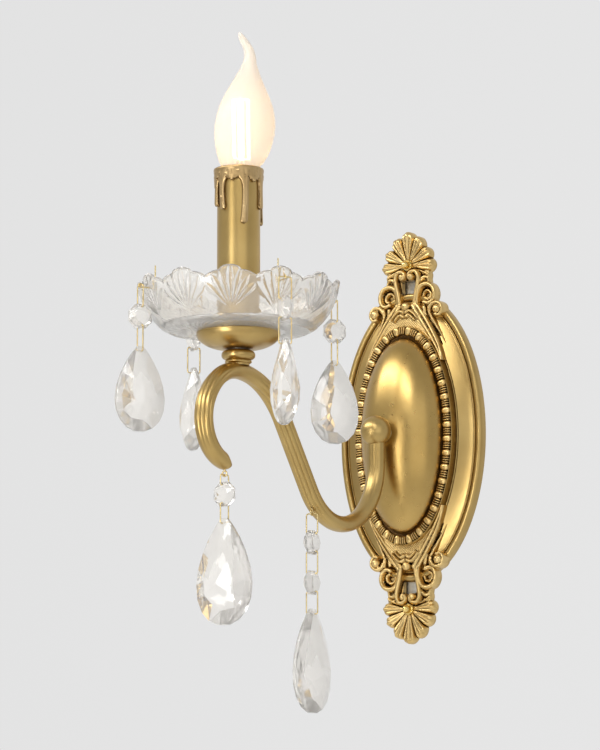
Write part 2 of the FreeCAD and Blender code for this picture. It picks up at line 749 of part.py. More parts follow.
def make_ball():
    """Sphere with a socket for the arm below and a hole for the tube that carries it at the back."""
    centre = Vector(0, -size["ball_out"], size["ball_height"])
    ball = Part.makeSphere(size["ball_radius"], centre)
    back = Part.makeCylinder(size["tube_radius"] + size["thread_clearance"], size["ball_radius"],
                             centre + Vector(0, size["socket_depth"], 0), Vector(0, 1, 0))
    socket = arm_sweep(arm_section(size["thread_clearance"]))
    return ball.cut(socket).cut(back)


keep(shaped("arm_ball", make_ball()), "arm_ball")
DOME_FRONT = "step_height + dome_rise"
keep(hollow("arm_tube", "tube_radius", "tube_bore",
            "ball_out - arm_half_height - arm_tube_gap - (%s) + arm_tube_behind" % DOME_FRONT,
            "-(%s) + arm_tube_behind" % DOME_FRONT, "ball_height", TO_FRONT), "arm_tube")


def ring_on_tube(label, radius, thickness, y, z, upright):
    """Washer that slides on a threaded tube; its face lies at the given point."""
    rotation = None if upright else TO_FRONT
    return keep(hollow(label, radius, "tube_radius + thread_clearance", thickness, y, z, rotation), label)


def nut_on_tube(label, y, z, upright):
    rotation = None if upright else TO_FRONT
    blank = hexagon(label + "_blank", "flat_nut_across", "flat_nut_height", "0", y, z, rotation)
    hole = primitive("Cylinder", label + "_bore", Radius="tube_radius + thread_clearance",
                     Height="flat_nut_height * 3")
    if upright:
        place(hole, y=y, z="%s - flat_nut_height" % z)
    else:
        place(hole, y="%s + flat_nut_height" % y, z=z, rotation=rotation)
    return keep(cut_from(label + "_cut", blank, hole), label)


DOME_BACK = "%s - dome_wall" % DOME_FRONT
WASHER_BACK = "-(%s) + arm_washer_stand + washer_thickness" % DOME_BACK
ring_on_tube("arm_washer", "arm_washer_radius", "washer_thickness", WASHER_BACK, "ball_height", False)
nut_on_tube("arm_nut", WASHER_BACK + " + flat_nut_height", "ball_height", False)

# ---------------------------------------------------------------- knuckle, cup and the tube through them

KNUCKLE = "(arm_top + knuckle_lift)"
REACH = "-candle_reach"


def make_knuckle():
    """Flattened ball, flat on top for the cup and saddled onto the arm below."""
    middle = Vector(0, -size["candle_reach"], value(KNUCKLE))
    squash = FreeCAD.Matrix()
    squash.scale(1, 1, size["knuckle_half_height"] / size["knuckle_radius"])
    ball = Part.makeSphere(size["knuckle_radius"]).transformGeometry(squash)
    ball.translate(middle)
    wide = 2 * size["knuckle_radius"]
    above = Part.makeBox(2 * wide, 2 * wide, wide, Vector(-wide, middle.y - wide, size["cup_foot"]))
    hole = Part.makeCylinder(size["tube_radius"] + size["thread_clearance"], 2 * wide,
                             Vector(0, middle.y, size["arm_top"]))
    return ball.cut(above).cut(hole).cut(arm_sweep(arm_section(size["thread_clearance"])))


keep(shaped("knuckle", make_knuckle()), "knuckle")

keep(turned("cup", [
    ("tube_radius + thread_clearance", "cup_foot"),
    ("cup_foot_radius", "cup_foot", "cup_curve"),
    ("cup_radius", "cup_rim"),
    ("cup_radius - cup_wall", "cup_rim", "cup_wall - cup_curve"),
    ("cup_foot_radius - cup_wall", "cup_foot + cup_wall"),
    ("tube_radius + thread_clearance", "cup_foot + cup_wall"),
], y=REACH), "cup")

# ---------------------------------------------------------------- bobeche

BELLY = "(bobeche_radius - belly_inset)"


def bobeche_body():
    """Pressed glass dish: flat foot on the cup, curved side, rim cut into lobes with shoulders."""
    body = turned("bobeche_blank", [
        ("tube_radius + 0.3", "cup_rim"),
        ("bobeche_foot_radius", "cup_rim", "bobeche_turn"),
        (BELLY, "cup_rim + belly_height", "bobeche_side_curve"),
        ("bobeche_radius", "glass_top"),
        ("bobeche_radius - bobeche_wall", "glass_top", "bobeche_wall - bobeche_side_curve"),
        (BELLY + " - bobeche_wall", "cup_rim + belly_height + belly_floor_rise",
         "bobeche_wall - bobeche_turn"),
        ("bobeche_foot_radius - 1.6", "glass_floor"),
        ("tube_radius + 0.3", "glass_floor"),
    ], y=REACH)
    body.Placement = Placement(body.Placement.Base,
                               Rotation(Vector(0, 0, 1), size["first_lobe_angle"] - 90 + 15))
    doc.recompute()
    half = "bobeche_radius * sin(180 / lobe_count)"
    sketch = corner_sketch(body, "valley_outline", "XZ_Plane", [
        ("-%s" % half, "glass_top + 1"),
        ("-%s * 0.52" % half, "glass_top - 0.02"),
        ("-%s * 0.50" % half, "glass_top - lobe_depth * 0.42", "-6"),
        ("0", "glass_top - lobe_depth", "-6"),
        ("%s * 0.50" % half, "glass_top - lobe_depth * 0.42"),
        ("%s * 0.52" % half, "glass_top - 0.02"),
        (half, "glass_top + 1"),
    ])
    before = body.Shape.Volume
    valley = body.newObject("PartDesign::Pocket", "valley")
    valley.Profile = sketch
    valley.Type = 1
    body.Tip = valley
    doc.recompute()
    ring = body.newObject("PartDesign::PolarPattern", "valleys")
    ring.Originals = [valley]
    ring.Axis = (origin_item(body, "Z_Axis"), [""])
    ring.Angle = 360
    bind(ring, "Occurrences", "lobe_count")
    body.Tip = ring
    doc.recompute()
    if not before > valley.Shape.Volume > ring.Shape.Volume:
        raise SystemExit("bobeche: a valley cut nothing")
    return body


STRING_ANGLES = {"a": -30, "b": 240, "c": 60, "d": 150}
RIM_HOLE = "(glass_top - rim_hole_drop)"
BAR_DROP = "(2 * wire_radius + hole_clearance + bar_play)"
RIM_BAR_OUT = "(bobeche_radius + string_stand_off)"


def outwards(angle):
    """Turn that lays the local X axis along a radius of the candle, counted from straight ahead."""
    return Rotation(Vector(0, 0, 1), angle - 90)


def candle_frame(angle):
    return Placement(Vector(0, -size["candle_reach"], 0), outwards(angle))


def make_bobeche():
    """Dish with the four rim holes that the upper strings hang from."""
    shape = bobeche_body().Shape
    reach = Vector(size["bobeche_radius"] - 12, 0, value(RIM_HOLE))
    for angle in STRING_ANGLES.values():
        hole = Part.makeCylinder(size["rim_hole_radius"], 24, reach, Vector(1, 0, 0))
        hole.Placement = candle_frame(angle).multiply(hole.Placement)
        shape = shape.cut(hole)
    return shape


keep(shaped("bobeche", make_bobeche()), "bobeche")

# ---------------------------------------------------------------- fasteners and sleeve on the candle's axis

TUBE_FOOT = "(arm_top + arm_half_height + 0.6)"
TUBE_TOP = "(glass_floor + tube_above)"
keep(hollow("candle_tube", "tube_radius", "tube_bore", "%s - %s" % (TUBE_TOP, TUBE_FOOT), REACH, TUBE_FOOT),
     "candle_tube")
ring_on_tube("bobeche_washer", "washer_radius", "washer_thickness", REACH, "glass_floor", True)
nut_on_tube("bobeche_nut", REACH, "(glass_floor + washer_thickness)", True)

SLEEVE_TOP = "(cap_top - cap_wall)"
keep(hollow("candle_sleeve", "sleeve_radius", "sleeve_radius - sleeve_wall",
            SLEEVE_TOP + " - glass_floor", REACH, "glass_floor"), "candle_sleeve")

# each drip's direction, counted from straight ahead, and how far it runs below the cap's top
DRIPS = ((-34, 23.0), (-5, 25.4), (48, 34.0), (106, 24.5), (142, 32.5), (188, 22.0), (232, 28.5), (286, 21.0))


def make_drip_cap():
    """Open collar over the sleeve's end with drips of wax that flare out of its skirt."""
    bore = size["sleeve_radius"] + size["cap_clearance"]
    radius, top = bore + size["cap_wall"], size["cap_top"]
    rod, proud = size["drip_radius"], size["drip_proud"]
    collar = Part.makeCylinder(radius, size["cap_skirt"], Vector(0, 0, top - size["cap_skirt"]))
    upper = [edge for edge in collar.Edges if edge.BoundBox.ZMin > top - 0.1]
    collar = collar.makeFillet(size["cap_edge_round"], upper)
    drips = []
    for angle, length in DRIPS:
        foot = Vector(radius - rod * 0.6, 0, top - length + rod)
        neck = top - size["cap_skirt"] - size["drip_flare_start"]
        pieces = [Part.makeSphere(rod, foot),
                  Part.makeCylinder(rod, top - size["drip_root"] - foot.z, foot),
                  Part.makeCone(rod, rod * 2.4, size["drip_flare_height"], Vector(foot.x, 0, neck))]
        for piece in pieces:
            piece.rotate(Vector(), Vector(0, 0, 1), angle - 90)
            drips.append(piece)
    wide = Part.makeCylinder(radius + proud, 60, Vector(0, 0, top - 58))
    wax = collar.multiFuse([drip.common(wide) for drip in drips])
    inside = Part.makeCylinder(bore, 60, Vector(0, 0, top - size["cap_wall"] - 60))
    mouth = Part.makeCylinder(size["cap_mouth"], 60, Vector(0, 0, top - 50))
    shape = wax.cut(inside.fuse(mouth))
    shape.translate(Vector(0, -size["candle_reach"], 0))
    return shape


keep(shaped("drip_cap", make_drip_cap()), "drip_cap")

# ---------------------------------------------------------------- lampholder

HOLDER_FOOT = "(holder_top - holder_depth)"
CAVITY = "(shell_radius + thread_clearance)"
keep(turned("lampholder_body", [
    ("0", HOLDER_FOOT), ("holder_radius", HOLDER_FOOT), ("holder_radius", "holder_top"),
    (CAVITY, "holder_top"), (CAVITY, HOLDER_FOOT + " + holder_floor"), ("0", HOLDER_FOOT + " + holder_floor"),
], y=REACH), "lampholder_body")
keep(hollow("lampholder_shell", "shell_radius", "shell_radius - shell_wall",
            "holder_depth - holder_floor - 1", REACH, HOLDER_FOOT + " + holder_floor"), "lampholder_shell")
contact = primitive("Cylinder", "contact_tongue", Radius="shell_radius / 3", Height="contact_height")
keep(place(contact, y=REACH, z=HOLDER_FOOT + " + holder_floor"), "lampholder_contact")

BRACKET_FOOT = "(%s - bracket_grip)" % TUBE_TOP
bracket = doc.addObject("PartDesign::Body", "bracket_blank")
inner_span = "(bracket_half_span - bracket_wall)"
BRACKET_FLOOR = BRACKET_FOOT + " + 2 * bracket_wall"
bracket_outline = corner_sketch(bracket, "bracket_outline", "XZ_Plane", [
    ("-bracket_half_span", BRACKET_FOOT), ("bracket_half_span", BRACKET_FOOT),
    ("bracket_half_span", HOLDER_FOOT), (inner_span, HOLDER_FOOT),
    (inner_span, BRACKET_FLOOR), ("-" + inner_span, BRACKET_FLOOR), ("-" + inner_span, HOLDER_FOOT),
    ("-bracket_half_span", HOLDER_FOOT),
])
bracket_pad = bracket.newObject("PartDesign::Pad", "bracket_pad")
bracket_pad.Profile = bracket_outline
bracket_pad.Midplane = True
bind(bracket_pad, "Length", "bracket_width")
bracket.Tip = bracket_pad
place(bracket, y=REACH)
keep(bored("threaded_bracket", bracket, "tube_radius + thread_clearance", "bracket_wall * 4", "0", REACH,
           BRACKET_FOOT + " - bracket_wall"), "holder_bracket")

# ---------------------------------------------------------------- lamp

LAMP_CAP = "(shell_radius - shell_wall - lamp_clearance)"
LAMP_FOOT = "(%s + holder_floor + contact_height + contact_gap)" % HOLDER_FOOT
CAP_FOOT = "(%s + insulator_height)" % LAMP_FOOT
CAP_HEAD = "(%s + lamp_cap_length)" % LAMP_FOOT
GLASS_FOOT = "(%s - 1)" % CAP_HEAD
NECK = "(bulb_neck_radius + lamp_clearance)"
keep(turned("bulb_cap", [
    (LAMP_CAP + " - lamp_cap_chamfer", CAP_FOOT), (LAMP_CAP, CAP_FOOT + " + lamp_cap_chamfer"),
    (LAMP_CAP, CAP_HEAD), (NECK, CAP_HEAD), (NECK, CAP_FOOT + " + lamp_cap_chamfer + lamp_cap_wall"),
    (NECK + " - lamp_cap_chamfer", CAP_FOOT + " + lamp_cap_wall"),
    ("pad_radius", CAP_FOOT + " + lamp_cap_wall"), ("pad_radius", CAP_FOOT),
], y=REACH), "bulb_cap")
keep(turned("bulb_insulator", [
    ("0", LAMP_FOOT + " + pad_height"), ("pad_radius + 0.2", LAMP_FOOT + " + pad_height"),
    (LAMP_CAP + " - lamp_cap_chamfer", CAP_FOOT), ("0", CAP_FOOT),
], y=REACH), "bulb_insulator")
lamp_contact = primitive("Cylinder", "centre_contact", Radius="pad_radius", Height="pad_height")
keep(place(lamp_contact, y=REACH, z=LAMP_FOOT), "bulb_contact")

# glass inside the candle: share of the way from its foot to the cap's top, share of the way from the neck's
# radius to the sleeve's bore, share of the full lean
GLASS_BELOW = ((0.25, 0.033, 0.0), (0.60, 0.267, 0.04), (1.0, 0.82, 0.14))
# glass above the cap: share of its height there, share of the largest radius, share of the full lean
GLASS_ABOVE = ((0.08, 0.80, 0.32), (0.181, 0.943, 0.44), (0.31, 1.0, 0.56), (0.4375, 0.897, 0.64),
               (0.54, 0.714, 0.69), (0.641, 0.489, 0.79), (0.744, 0.274, 0.93), (0.814, 0.20, 1.0),
               (0.875, 0.175, 0.85), (0.931, 0.15, 0.46), (0.975, 0.115, 0.20))
LEAN_WAY = Vector(math.cos(math.radians(34)), math.sin(math.radians(34)), 0)


def envelope(trim):
    """Candle-flame glass with a bent tip: level circles whose centres lean out and curl back."""
    foot, top, neck = value(GLASS_FOOT), size["cap_top"], size["bulb_neck_radius"]
    bore, tip = size["sleeve_radius"] - size["sleeve_wall"], size["cap_top"] + size["glass_above"]
    rows = [(foot + (top - foot) * along, neck + (bore - neck) * wide, lean)
            for along, wide, lean in GLASS_BELOW]
    rows += [(top + (tip - top) * along, size["bulb_radius"] * wide, lean)
             for along, wide, lean in GLASS_ABOVE]
    rings = [Part.makeCircle(neck - trim, Vector(0, 0, foot))]
    for height, radius, lean in rows:
        middle = LEAN_WAY * size["bulb_lean"] * lean + Vector(0, 0, height)
        rings.append(Part.makeCircle(radius - trim, middle))
    rings.append(Part.makeCircle(0.7 - min(trim, 0.4), Vector(0, 0, tip - trim)))
    return Part.makeLoft([Part.Wire([ring]) for ring in rings], True, False)


def make_bulb_glass():
    shape = envelope(0.0).cut(envelope(size["bulb_wall"]))
    shape.translate(Vector(0, -size["candle_reach"], 0))
    return shape


keep(shaped("bulb_glass", make_bulb_glass()), "bulb_glass")

STEM_FOOT = "(%s + 1)" % CAP_FOOT
STEM_TOP = "(%s + stem_height)" % GLASS_FOOT
keep(turned("bulb_stem", [
    ("0", STEM_FOOT), ("bulb_neck_radius - bulb_wall - 0.6", STEM_FOOT),
    ("bulb_neck_radius - bulb_wall - 0.6", GLASS_FOOT + " + 1"),
    ("stem_radius", GLASS_FOOT + " + stem_waist"),
    ("stem_tip_radius", STEM_TOP), ("0", STEM_TOP),
], y=REACH), "bulb_stem")


def make_filaments():
    """Four upright filament rods on a wire cross at the stem's top and a wire ring above."""
    top, spread = value(STEM_TOP), size["filament_spread"]
    length, rod, wire = size["filament_length"], size["filament_radius"], 0.3
    foot = top + 1.0
    pieces = [Part.makeCylinder(size["stem_tip_radius"], 1.0, Vector(0, 0, top)),
              Part.makeTorus(spread, wire, Vector(0, 0, foot + length))]
    for corner in range(4):
        turn = Rotation(Vector(0, 0, 1), 90 * corner + 45)
        at = turn.multVec(Vector(spread, 0, 0)) + Vector(0, 0, foot)
        pieces.append(Part.makeCylinder(rod, length, at))
        pieces.append(Part.makeCylinder(wire, spread, Vector(0, 0, top + 0.5),
                                        turn.multVec(Vector(1, 0, 0.5 / spread))))
    shape = pieces[0].multiFuse(pieces[1:])
    shape.translate(Vector(0, -size["candle_reach"], 0) + LEAN_WAY * size["filament_shift"])
    return shape


keep(shaped("bulb_filaments", make_filaments()), "bulb_filaments")

# ---------------------------------------------------------------- crystals and their wire links

def stone(outer, inner, girdle, inner_half, apex=None):
    """Cut stone, the same front and back: a straight girdle, triangles up to an inner ring, then a flat
    table, or facets up to a point at apex = (x, half thickness, z).

    Rings are (x, z) points at the half thicknesses girdle and inner_half; the outer ring has one or two
    points for each inner one.
    """
    faces = []
    share = len(outer) // len(inner)
    for side in (1, -1):
        low = [Vector(x, side * girdle, z) for x, z in outer]
        high = [Vector(x, side * inner_half, z) for x, z in inner]
        for i, near in enumerate(high):
            following = high[(i + 1) % len(high)]
            first, turn, last = [low[(share * i + step) % len(low)] for step in (0, 1, share)]
            faces += [[first, turn, near], [near, turn, following]]
            if share == 2:
                faces.append([turn, last, following])
            if apex:
                faces.append([near, following, Vector(apex[0], side * apex[1], apex[2])])
        if not apex:
            faces.append(high)
    for (x, z), (next_x, next_z) in zip(outer, outer[1:] + outer[:1]):
        faces.append([Vector(x, girdle, z), Vector(next_x, girdle, next_z), Vector(next_x, -girdle, next_z),
                      Vector(x, -girdle, z)])
    return facets_solid(faces)


def cross_hole(z):
    """Bore for a link's bar, through a stone along its facing direction."""
    return Part.makeCylinder(size["wire_radius"] + size["hole_clearance"], 40, Vector(0, -20, z),
                             Vector(0, 1, 0))


def octagon_bead():
    """Eight-sided bead with a table on both faces and a hole near its top and bottom; centre at zero."""
    radius = size["octagon_width"] / 2 / math.cos(math.pi / 8)
    outer = [(radius * math.cos(math.radians(45 * k + 22.5)), radius * math.sin(math.radians(45 * k + 22.5)))
             for k in range(8)]
    inner = [(radius * 0.56 * math.cos(math.radians(45 * k + 45)), radius * 0.56 * math.sin(
        math.radians(45 * k + 45))) for k in range(8)]
    bead = stone(outer, inner, size["bead_girdle"], size["octagon_half_thickness"])
    return bead.cut(cross_hole(size["octagon_hole"])).cut(cross_hole(-size["octagon_hole"]))


def teardrop(length, width, half_thickness):
    """Pear-shaped pendant, its top at zero: half width = width/2 * sin(s) * sin(s/2)^0.8, scaled to its
    largest, at a depth of length * (1 - cos(s)) / 2."""
    def profile(s):
        return math.sin(s) * math.sin(s / 2) ** 0.8
    largest = max(profile(math.radians(k)) for k in range(180))
    start, sides = 0.35, 10
    right = []
    for k in range(sides):
        s = start + (math.pi - start) * k / (sides - 0.5)
        depth = length * (math.cos(start) - math.cos(s)) / (math.cos(start) + 1)
        right.append((width / 2 * profile(s) / largest, -depth))
    outer = right + [(-x, z) for x, z in reversed(right)]
    centre = -0.62 * length
    inner = []
    for k in range(0, len(outer), 2):
        x, z = (outer[k][0] + outer[k + 1][0]) / 2, (outer[k][1] + outer[k + 1][1]) / 2
        inner.append((0.55 * x, centre + 0.55 * (z - centre)))
    drop = stone(outer, inner, size["drop_girdle"], 0.72 * half_thickness, (0, half_thickness, centre))
    return drop.cut(cross_hole(-size["drop_hole"]))


def wire_along(points, radius):
    """Round wire along straight runs and arcs: a path of (kind, points) steps."""
    edges = [Part.LineSegment(*step).toShape() if len(step) == 2 else Part.Arc(*step).toShape()
             for step in points]
    path = Part.Wire(edges)
    first = edges[0].tangentAt(edges[0].FirstParameter)
    ring = Part.Wire([Part.makeCircle(radius, points[0][0], first)])
    return path.makePipeShell([ring], True, False)


def link(length):
    """Closed wire link, upper bar at zero and lower bar at -length, both along the facing direction."""
    half, bend, drop = size["link_half_width"], 1.3, math.sqrt(0.5)
    sides = []
    for way in (1, -1):
        def at(y, z):
            return Vector(0, way * y, z)
        sides.append(wire_along([
            (at(0, 0), at(half - bend, 0)),
            (at(half - bend, 0), at(half - bend + bend * drop, -bend + bend * drop), at(half, -bend)),
            (at(half, -bend), at(half, bend - length)),
            (at(half, bend - length), at(half - bend + bend * drop, bend - bend * drop - length),
             at(half - bend, -length)),
            (at(half - bend, -length), at(0, -length))], size["wire_radius"]))
    return sides[0].fuse(sides[1]).removeSplitter()


def hang(label, shape, frame, height):
    """Hang a piece in a string's own frame at a height."""
    return keep(shaped(label, shape, frame.multiply(Placement(Vector(0, 0, height), Rotation()))), label)


BEAD_STEP = size["octagon_hole"]
small = (size["small_drop_length"], size["small_drop_width"], size["small_drop_half_thickness"])
large = (size["large_drop_length"], size["large_drop_width"], size["large_drop_half_thickness"])


def string(name, frame, height, clip, links, drop):
    """One string from its upper bar down: a clip, then beads with a link under each, then the teardrop."""
    hang("clip_" + name, link(clip), frame, height)
    height -= clip
    for number, length in enumerate(links):
        tag = name if len(links) == 1 else "%s%d" % (name, number + 1)
        hang("bead_" + tag, octagon_bead(), frame, height - BEAD_STEP)
        height -= 2 * BEAD_STEP
        hang("link_" + tag, link(length), frame, height)
        height -= length
    hang("drop_" + name, teardrop(*drop), frame, height + size["drop_hole"])


def rim_hook(angle):
    """Wire through a rim hole: free end up inside the dish, open hook round the clip's bar outside."""
    bend, low, ring = size["hook_bend"], value(RIM_HOLE), value(BAR_DROP)
    inside = size["bobeche_radius"] - size["bobeche_wall"] - 3.0
    out, drop = value(RIM_BAR_OUT), math.sqrt(0.5)
    end = math.radians(140)
    corner = Vector(inside, 0, low + bend)
    path = [(Vector(inside, 0, low + size["hook_free_end"]), corner),
            (corner, Vector(inside + bend - bend * drop, 0, low + bend - bend * drop),
             Vector(inside + bend, 0, low)),
            (Vector(inside + bend, 0, low), Vector(out, 0, low)),
            (Vector(out, 0, low), Vector(out + ring, 0, low + ring),
             Vector(out + ring * math.cos(end), 0, low + ring + ring * math.sin(end)))]
    wire = wire_along(path, size["wire_radius"])
    wire.Placement = candle_frame(angle).multiply(wire.Placement)
    return wire


for name, angle in STRING_ANGLES.items():
    frame = candle_frame(angle).multiply(Placement(Vector(value(RIM_BAR_OUT), 0, 0), Rotation()))
    string(name, frame, value(RIM_HOLE) + value(BAR_DROP), size["rim_clip_length"], [size["rim_link_length"]],
           small)
hooks = [shaped("hook_" + name, rim_hook(angle)) for name, angle in STRING_ANGLES.items()]
keep(joined("hook_set", *hooks), "rim_hooks")

EYE_LIFT = "(eye_radius - eye_wire - wire_radius - hole_clearance)"


def eye_seat(step, turn_left):
    """Out and height of a clip's bar in an eye under the arm, on an arc where a turn is left to its end."""
    _, centre, radius, heading = arm_steps()[step]
    side = math.copysign(1, heading)
    out = centre.x + side * radius * math.sin(math.radians(heading - side * turn_left))
    under = centre.y - math.sqrt((radius + size["arm_half_height"]) ** 2 - (out - centre.x) ** 2)
    return out, under - value(EYE_LIFT + " + eye_radius + eye_wire + eye_stalk")


def arm_eye(out, height, angle):
    """Small ring under the arm round a clip's bar, its stalk ending on the arm."""
    centre = Vector(0, -out, height + value(EYE_LIFT))
    facing = outwards(angle).multVec(Vector(0, 1, 0))
    ring = Part.makeTorus(size["eye_radius"], size["eye_wire"], centre, facing)
    stalk = Part.makeCylinder(size["eye_wire"] * 1.3, size["arm_half_height"],
                              centre + Vector(0, 0, size["eye_radius"]))
    return ring.fuse(stalk).cut(arm_sweep(arm_section()))


TIP, BEND = -1, 1
EYES = (("e", TIP, "tip_eye_turn", 90, "tip_clip_length", ["tip_link_length"]),
        ("f", BEND, "bend_eye_turn", 180, "bend_clip_length", ["bend_link_length"] * 2))
eyes = []
for name, step, turn, angle, clip, links in EYES:
    out, height = eye_seat(step, size[turn])
    frame = Placement(Vector(0, -out, 0), outwards(angle))
    string(name, frame, height, size[clip], [size[link_size] for link_size in links], large)
    eyes.append(shaped("eye_" + name, arm_eye(out, height, angle)))
keep(joined("eye_pair", *eyes), "arm_eyes")

# ---------------------------------------------------------------- check and export

doc.recompute()
faults = [obj.Name for obj in doc.Objects if {"Invalid", "Error"} & set(obj.State)]
faults += [obj.Label for obj in nodes if obj.Shape.isNull() or not obj.Shape.isValid()]
if faults:
    raise SystemExit("failed objects: %s" % ", ".join(faults))
os.makedirs("parts", exist_ok=True)
for node in nodes:
    node.Shape.exportStep("parts/%s.step" % node.Label)
    box = node.Shape.optimalBoundingBox()
    print("%-20s solids %2d volume %8.0f  x %7.1f %7.1f  y %7.1f %7.1f  z %7.1f %7.1f" % (
        node.Label, len(node.Shape.Solids), node.Shape.Volume, box.XMin, box.XMax, box.YMin, box.YMax,
        box.ZMin, box.ZMax))
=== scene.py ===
"""Crystal wall sconce: satin and antique brass, pressed glass dish, candle lamp and cut crystals.

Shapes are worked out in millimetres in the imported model's frame and stored in metres: +Z is up, the wall is
at Y = 0 and the light stands out towards -Y.
"""
import math

import bmesh
import bpy
import numpy as np
from mathutils import Matrix, Vector

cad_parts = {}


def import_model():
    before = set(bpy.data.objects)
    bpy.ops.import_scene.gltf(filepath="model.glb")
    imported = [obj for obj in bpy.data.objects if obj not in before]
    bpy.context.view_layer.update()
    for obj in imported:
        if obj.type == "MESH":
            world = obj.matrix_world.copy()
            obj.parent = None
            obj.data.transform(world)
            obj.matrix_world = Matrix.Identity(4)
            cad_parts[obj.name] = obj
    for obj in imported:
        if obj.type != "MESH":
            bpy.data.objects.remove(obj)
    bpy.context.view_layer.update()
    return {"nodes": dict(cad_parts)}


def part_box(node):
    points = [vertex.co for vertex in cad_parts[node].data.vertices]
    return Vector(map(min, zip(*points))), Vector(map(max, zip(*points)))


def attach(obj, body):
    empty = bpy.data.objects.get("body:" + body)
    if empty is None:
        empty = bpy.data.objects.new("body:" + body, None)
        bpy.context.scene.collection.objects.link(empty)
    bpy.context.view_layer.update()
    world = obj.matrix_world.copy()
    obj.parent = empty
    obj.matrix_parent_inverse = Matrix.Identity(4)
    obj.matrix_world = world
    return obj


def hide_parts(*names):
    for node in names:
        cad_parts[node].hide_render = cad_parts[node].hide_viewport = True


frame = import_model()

MM = 0.001
NODES = frame["nodes"]


def span(node):
    """Lowest and highest corner of a node in millimetres."""
    low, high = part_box(node)
    return np.array(low) / MM, np.array(high) / MM


# ------------------------ driving sizes, read from the frame

PLATE_HIGH = span("backplate")[1]
RING_HIGH = span("bead_ring")[1]
DOME_LOW = span("dome")[0]
GLASS_LOW, GLASS_HIGH = span("bobeche")
CUP_LOW, CUP_HIGH = span("cup")
SLEEVE_LOW, SLEEVE_HIGH = span("candle_sleeve")
WAX_HIGH = span("drip_cap")[1]
LAMP_LOW, LAMP_HIGH = span("bulb_glass")
BALL_LOW, BALL_HIGH = span("arm_ball")
KNUCKLE_LOW, KNUCKLE_HIGH = span("knuckle")
CANDLE_Y = (CUP_LOW[1] + CUP_HIGH[1]) / 2
PLATE_HALF_WIDTH = PLATE_HIGH[0]
PLATE_HALF_HEIGHT = 88.0    # of the oval alone: the ornaments stand out beyond it
TUBE_BORE = 5.1             # hole for the threaded tube through knuckle and cup
GLASS_BORE = 5.4            # the same through the dish


# ------------------------ mesh helpers

def linked(name, data):
    """New object of the data, in the scene."""
    obj = bpy.data.objects.new(name, data)
    bpy.context.scene.collection.objects.link(obj)
    return obj


def make_object(name, verts, faces, smooth_angle=40):
    """Mesh object from millimetre points; edges sharper than the angle stay sharp."""
    mesh = bpy.data.meshes.new(name)
    mesh.from_pydata((np.asarray(verts, float) * MM).tolist(), [], [tuple(map(int, f)) for f in faces])
    mesh.update()
    mesh.shade_smooth()
    mesh.set_sharp_from_angle(angle=math.radians(smooth_angle))
    return linked(name, mesh)


def tidy(obj, same_point=2e-6, sliver=1e-7):
    """Merge doubled points, drop slivers and turn the faces outwards; distances in metres."""
    mesh = bmesh.new()
    mesh.from_mesh(obj.data)
    bmesh.ops.remove_doubles(mesh, verts=mesh.verts, dist=same_point)
    bmesh.ops.dissolve_degenerate(mesh, dist=sliver, edges=mesh.edges)
    bmesh.ops.recalc_face_normals(mesh, faces=mesh.faces)
    mesh.to_mesh(obj.data)
    mesh.free()
    return obj


def set_wear(obj, values):
    """Store one number per point as the attribute named wear, which the patina reads."""
    layer = obj.data.attributes.new("wear", "FLOAT", "POINT")
    layer.data.foreach_set("value", np.asarray(values, np.float32))


def merged(name, parts):
    """One object from several closed ones."""
    whole = bmesh.new()
    for part in parts:
        whole.from_mesh(part.data)
        bpy.data.objects.remove(part)
    mesh = bpy.data.meshes.new(name)
    whole.to_mesh(mesh)
    whole.free()
    return linked(name, mesh)


def grid_faces(rows, columns, close_rows, close_columns):
    """Quads between neighbouring grid points, wrapped round in either direction."""
    r = np.arange(rows if close_rows else rows - 1)
    c = np.arange(columns if close_columns else columns - 1)
    r, c = np.meshgrid(r, c, indexing="ij")
    r2, c2 = (r + 1) % rows, (c + 1) % columns
    quads = np.stack([r * columns + c, r * columns + c2, r2 * columns + c2, r2 * columns + c], -1)
    return quads.reshape(-1, 4)


def surface(name, points, close_rows=False, smooth_angle=40, wear=None):
    """Surface from an array (rows, columns, 3) whose rows are rings, with a wear value for each point."""
    rows, columns = points.shape[:2]
    quads = grid_faces(rows, columns, close_rows, True)
    obj = make_object(name, points.reshape(-1, 3), quads, smooth_angle)
    if wear is not None:
        set_wear(obj, np.broadcast_to(wear, (rows, columns)).ravel())
    return tidy(obj)


def unit(x):
    """Value kept between 0 and 1."""
    return np.clip(x, 0, 1)


def half_circle(x):
    """Height of a half circle of radius 1 over x, and 0 beyond its ends."""
    return np.sqrt(unit(1 - x ** 2))


def xyz(x, y, z):
    """Points from their coordinates, each spread over the rows and columns of the others."""
    return np.stack(np.broadcast_arrays(x, y, z), -1)


def full_turn(steps):
    """Angles at equal steps round a circle."""
    return np.linspace(0, 2 * np.pi, steps, endpoint=False)


def turned(name, profile, centre_y=CANDLE_Y, steps=96, closed=True, smooth_angle=40):
    """Surface of revolution about an upright axis: (radius, height) points carried round a circle."""
    profile = np.asarray(profile, float)
    angle = full_turn(steps)
    x = profile[:, :1] * np.cos(angle)
    y = centre_y + profile[:, :1] * np.sin(angle)
    return surface(name, xyz(x, y, profile[:, 1:]), close_rows=closed, smooth_angle=smooth_angle)


def arc(centre, radius, start, end, count=9):
    """Points of a circular arc in a profile plane, angles in degrees."""
    a = np.radians(np.linspace(start, end, count))
    return [(centre[0] + radius * math.cos(t), centre[1] + radius * math.sin(t)) for t in a]


# ------------------------ materials

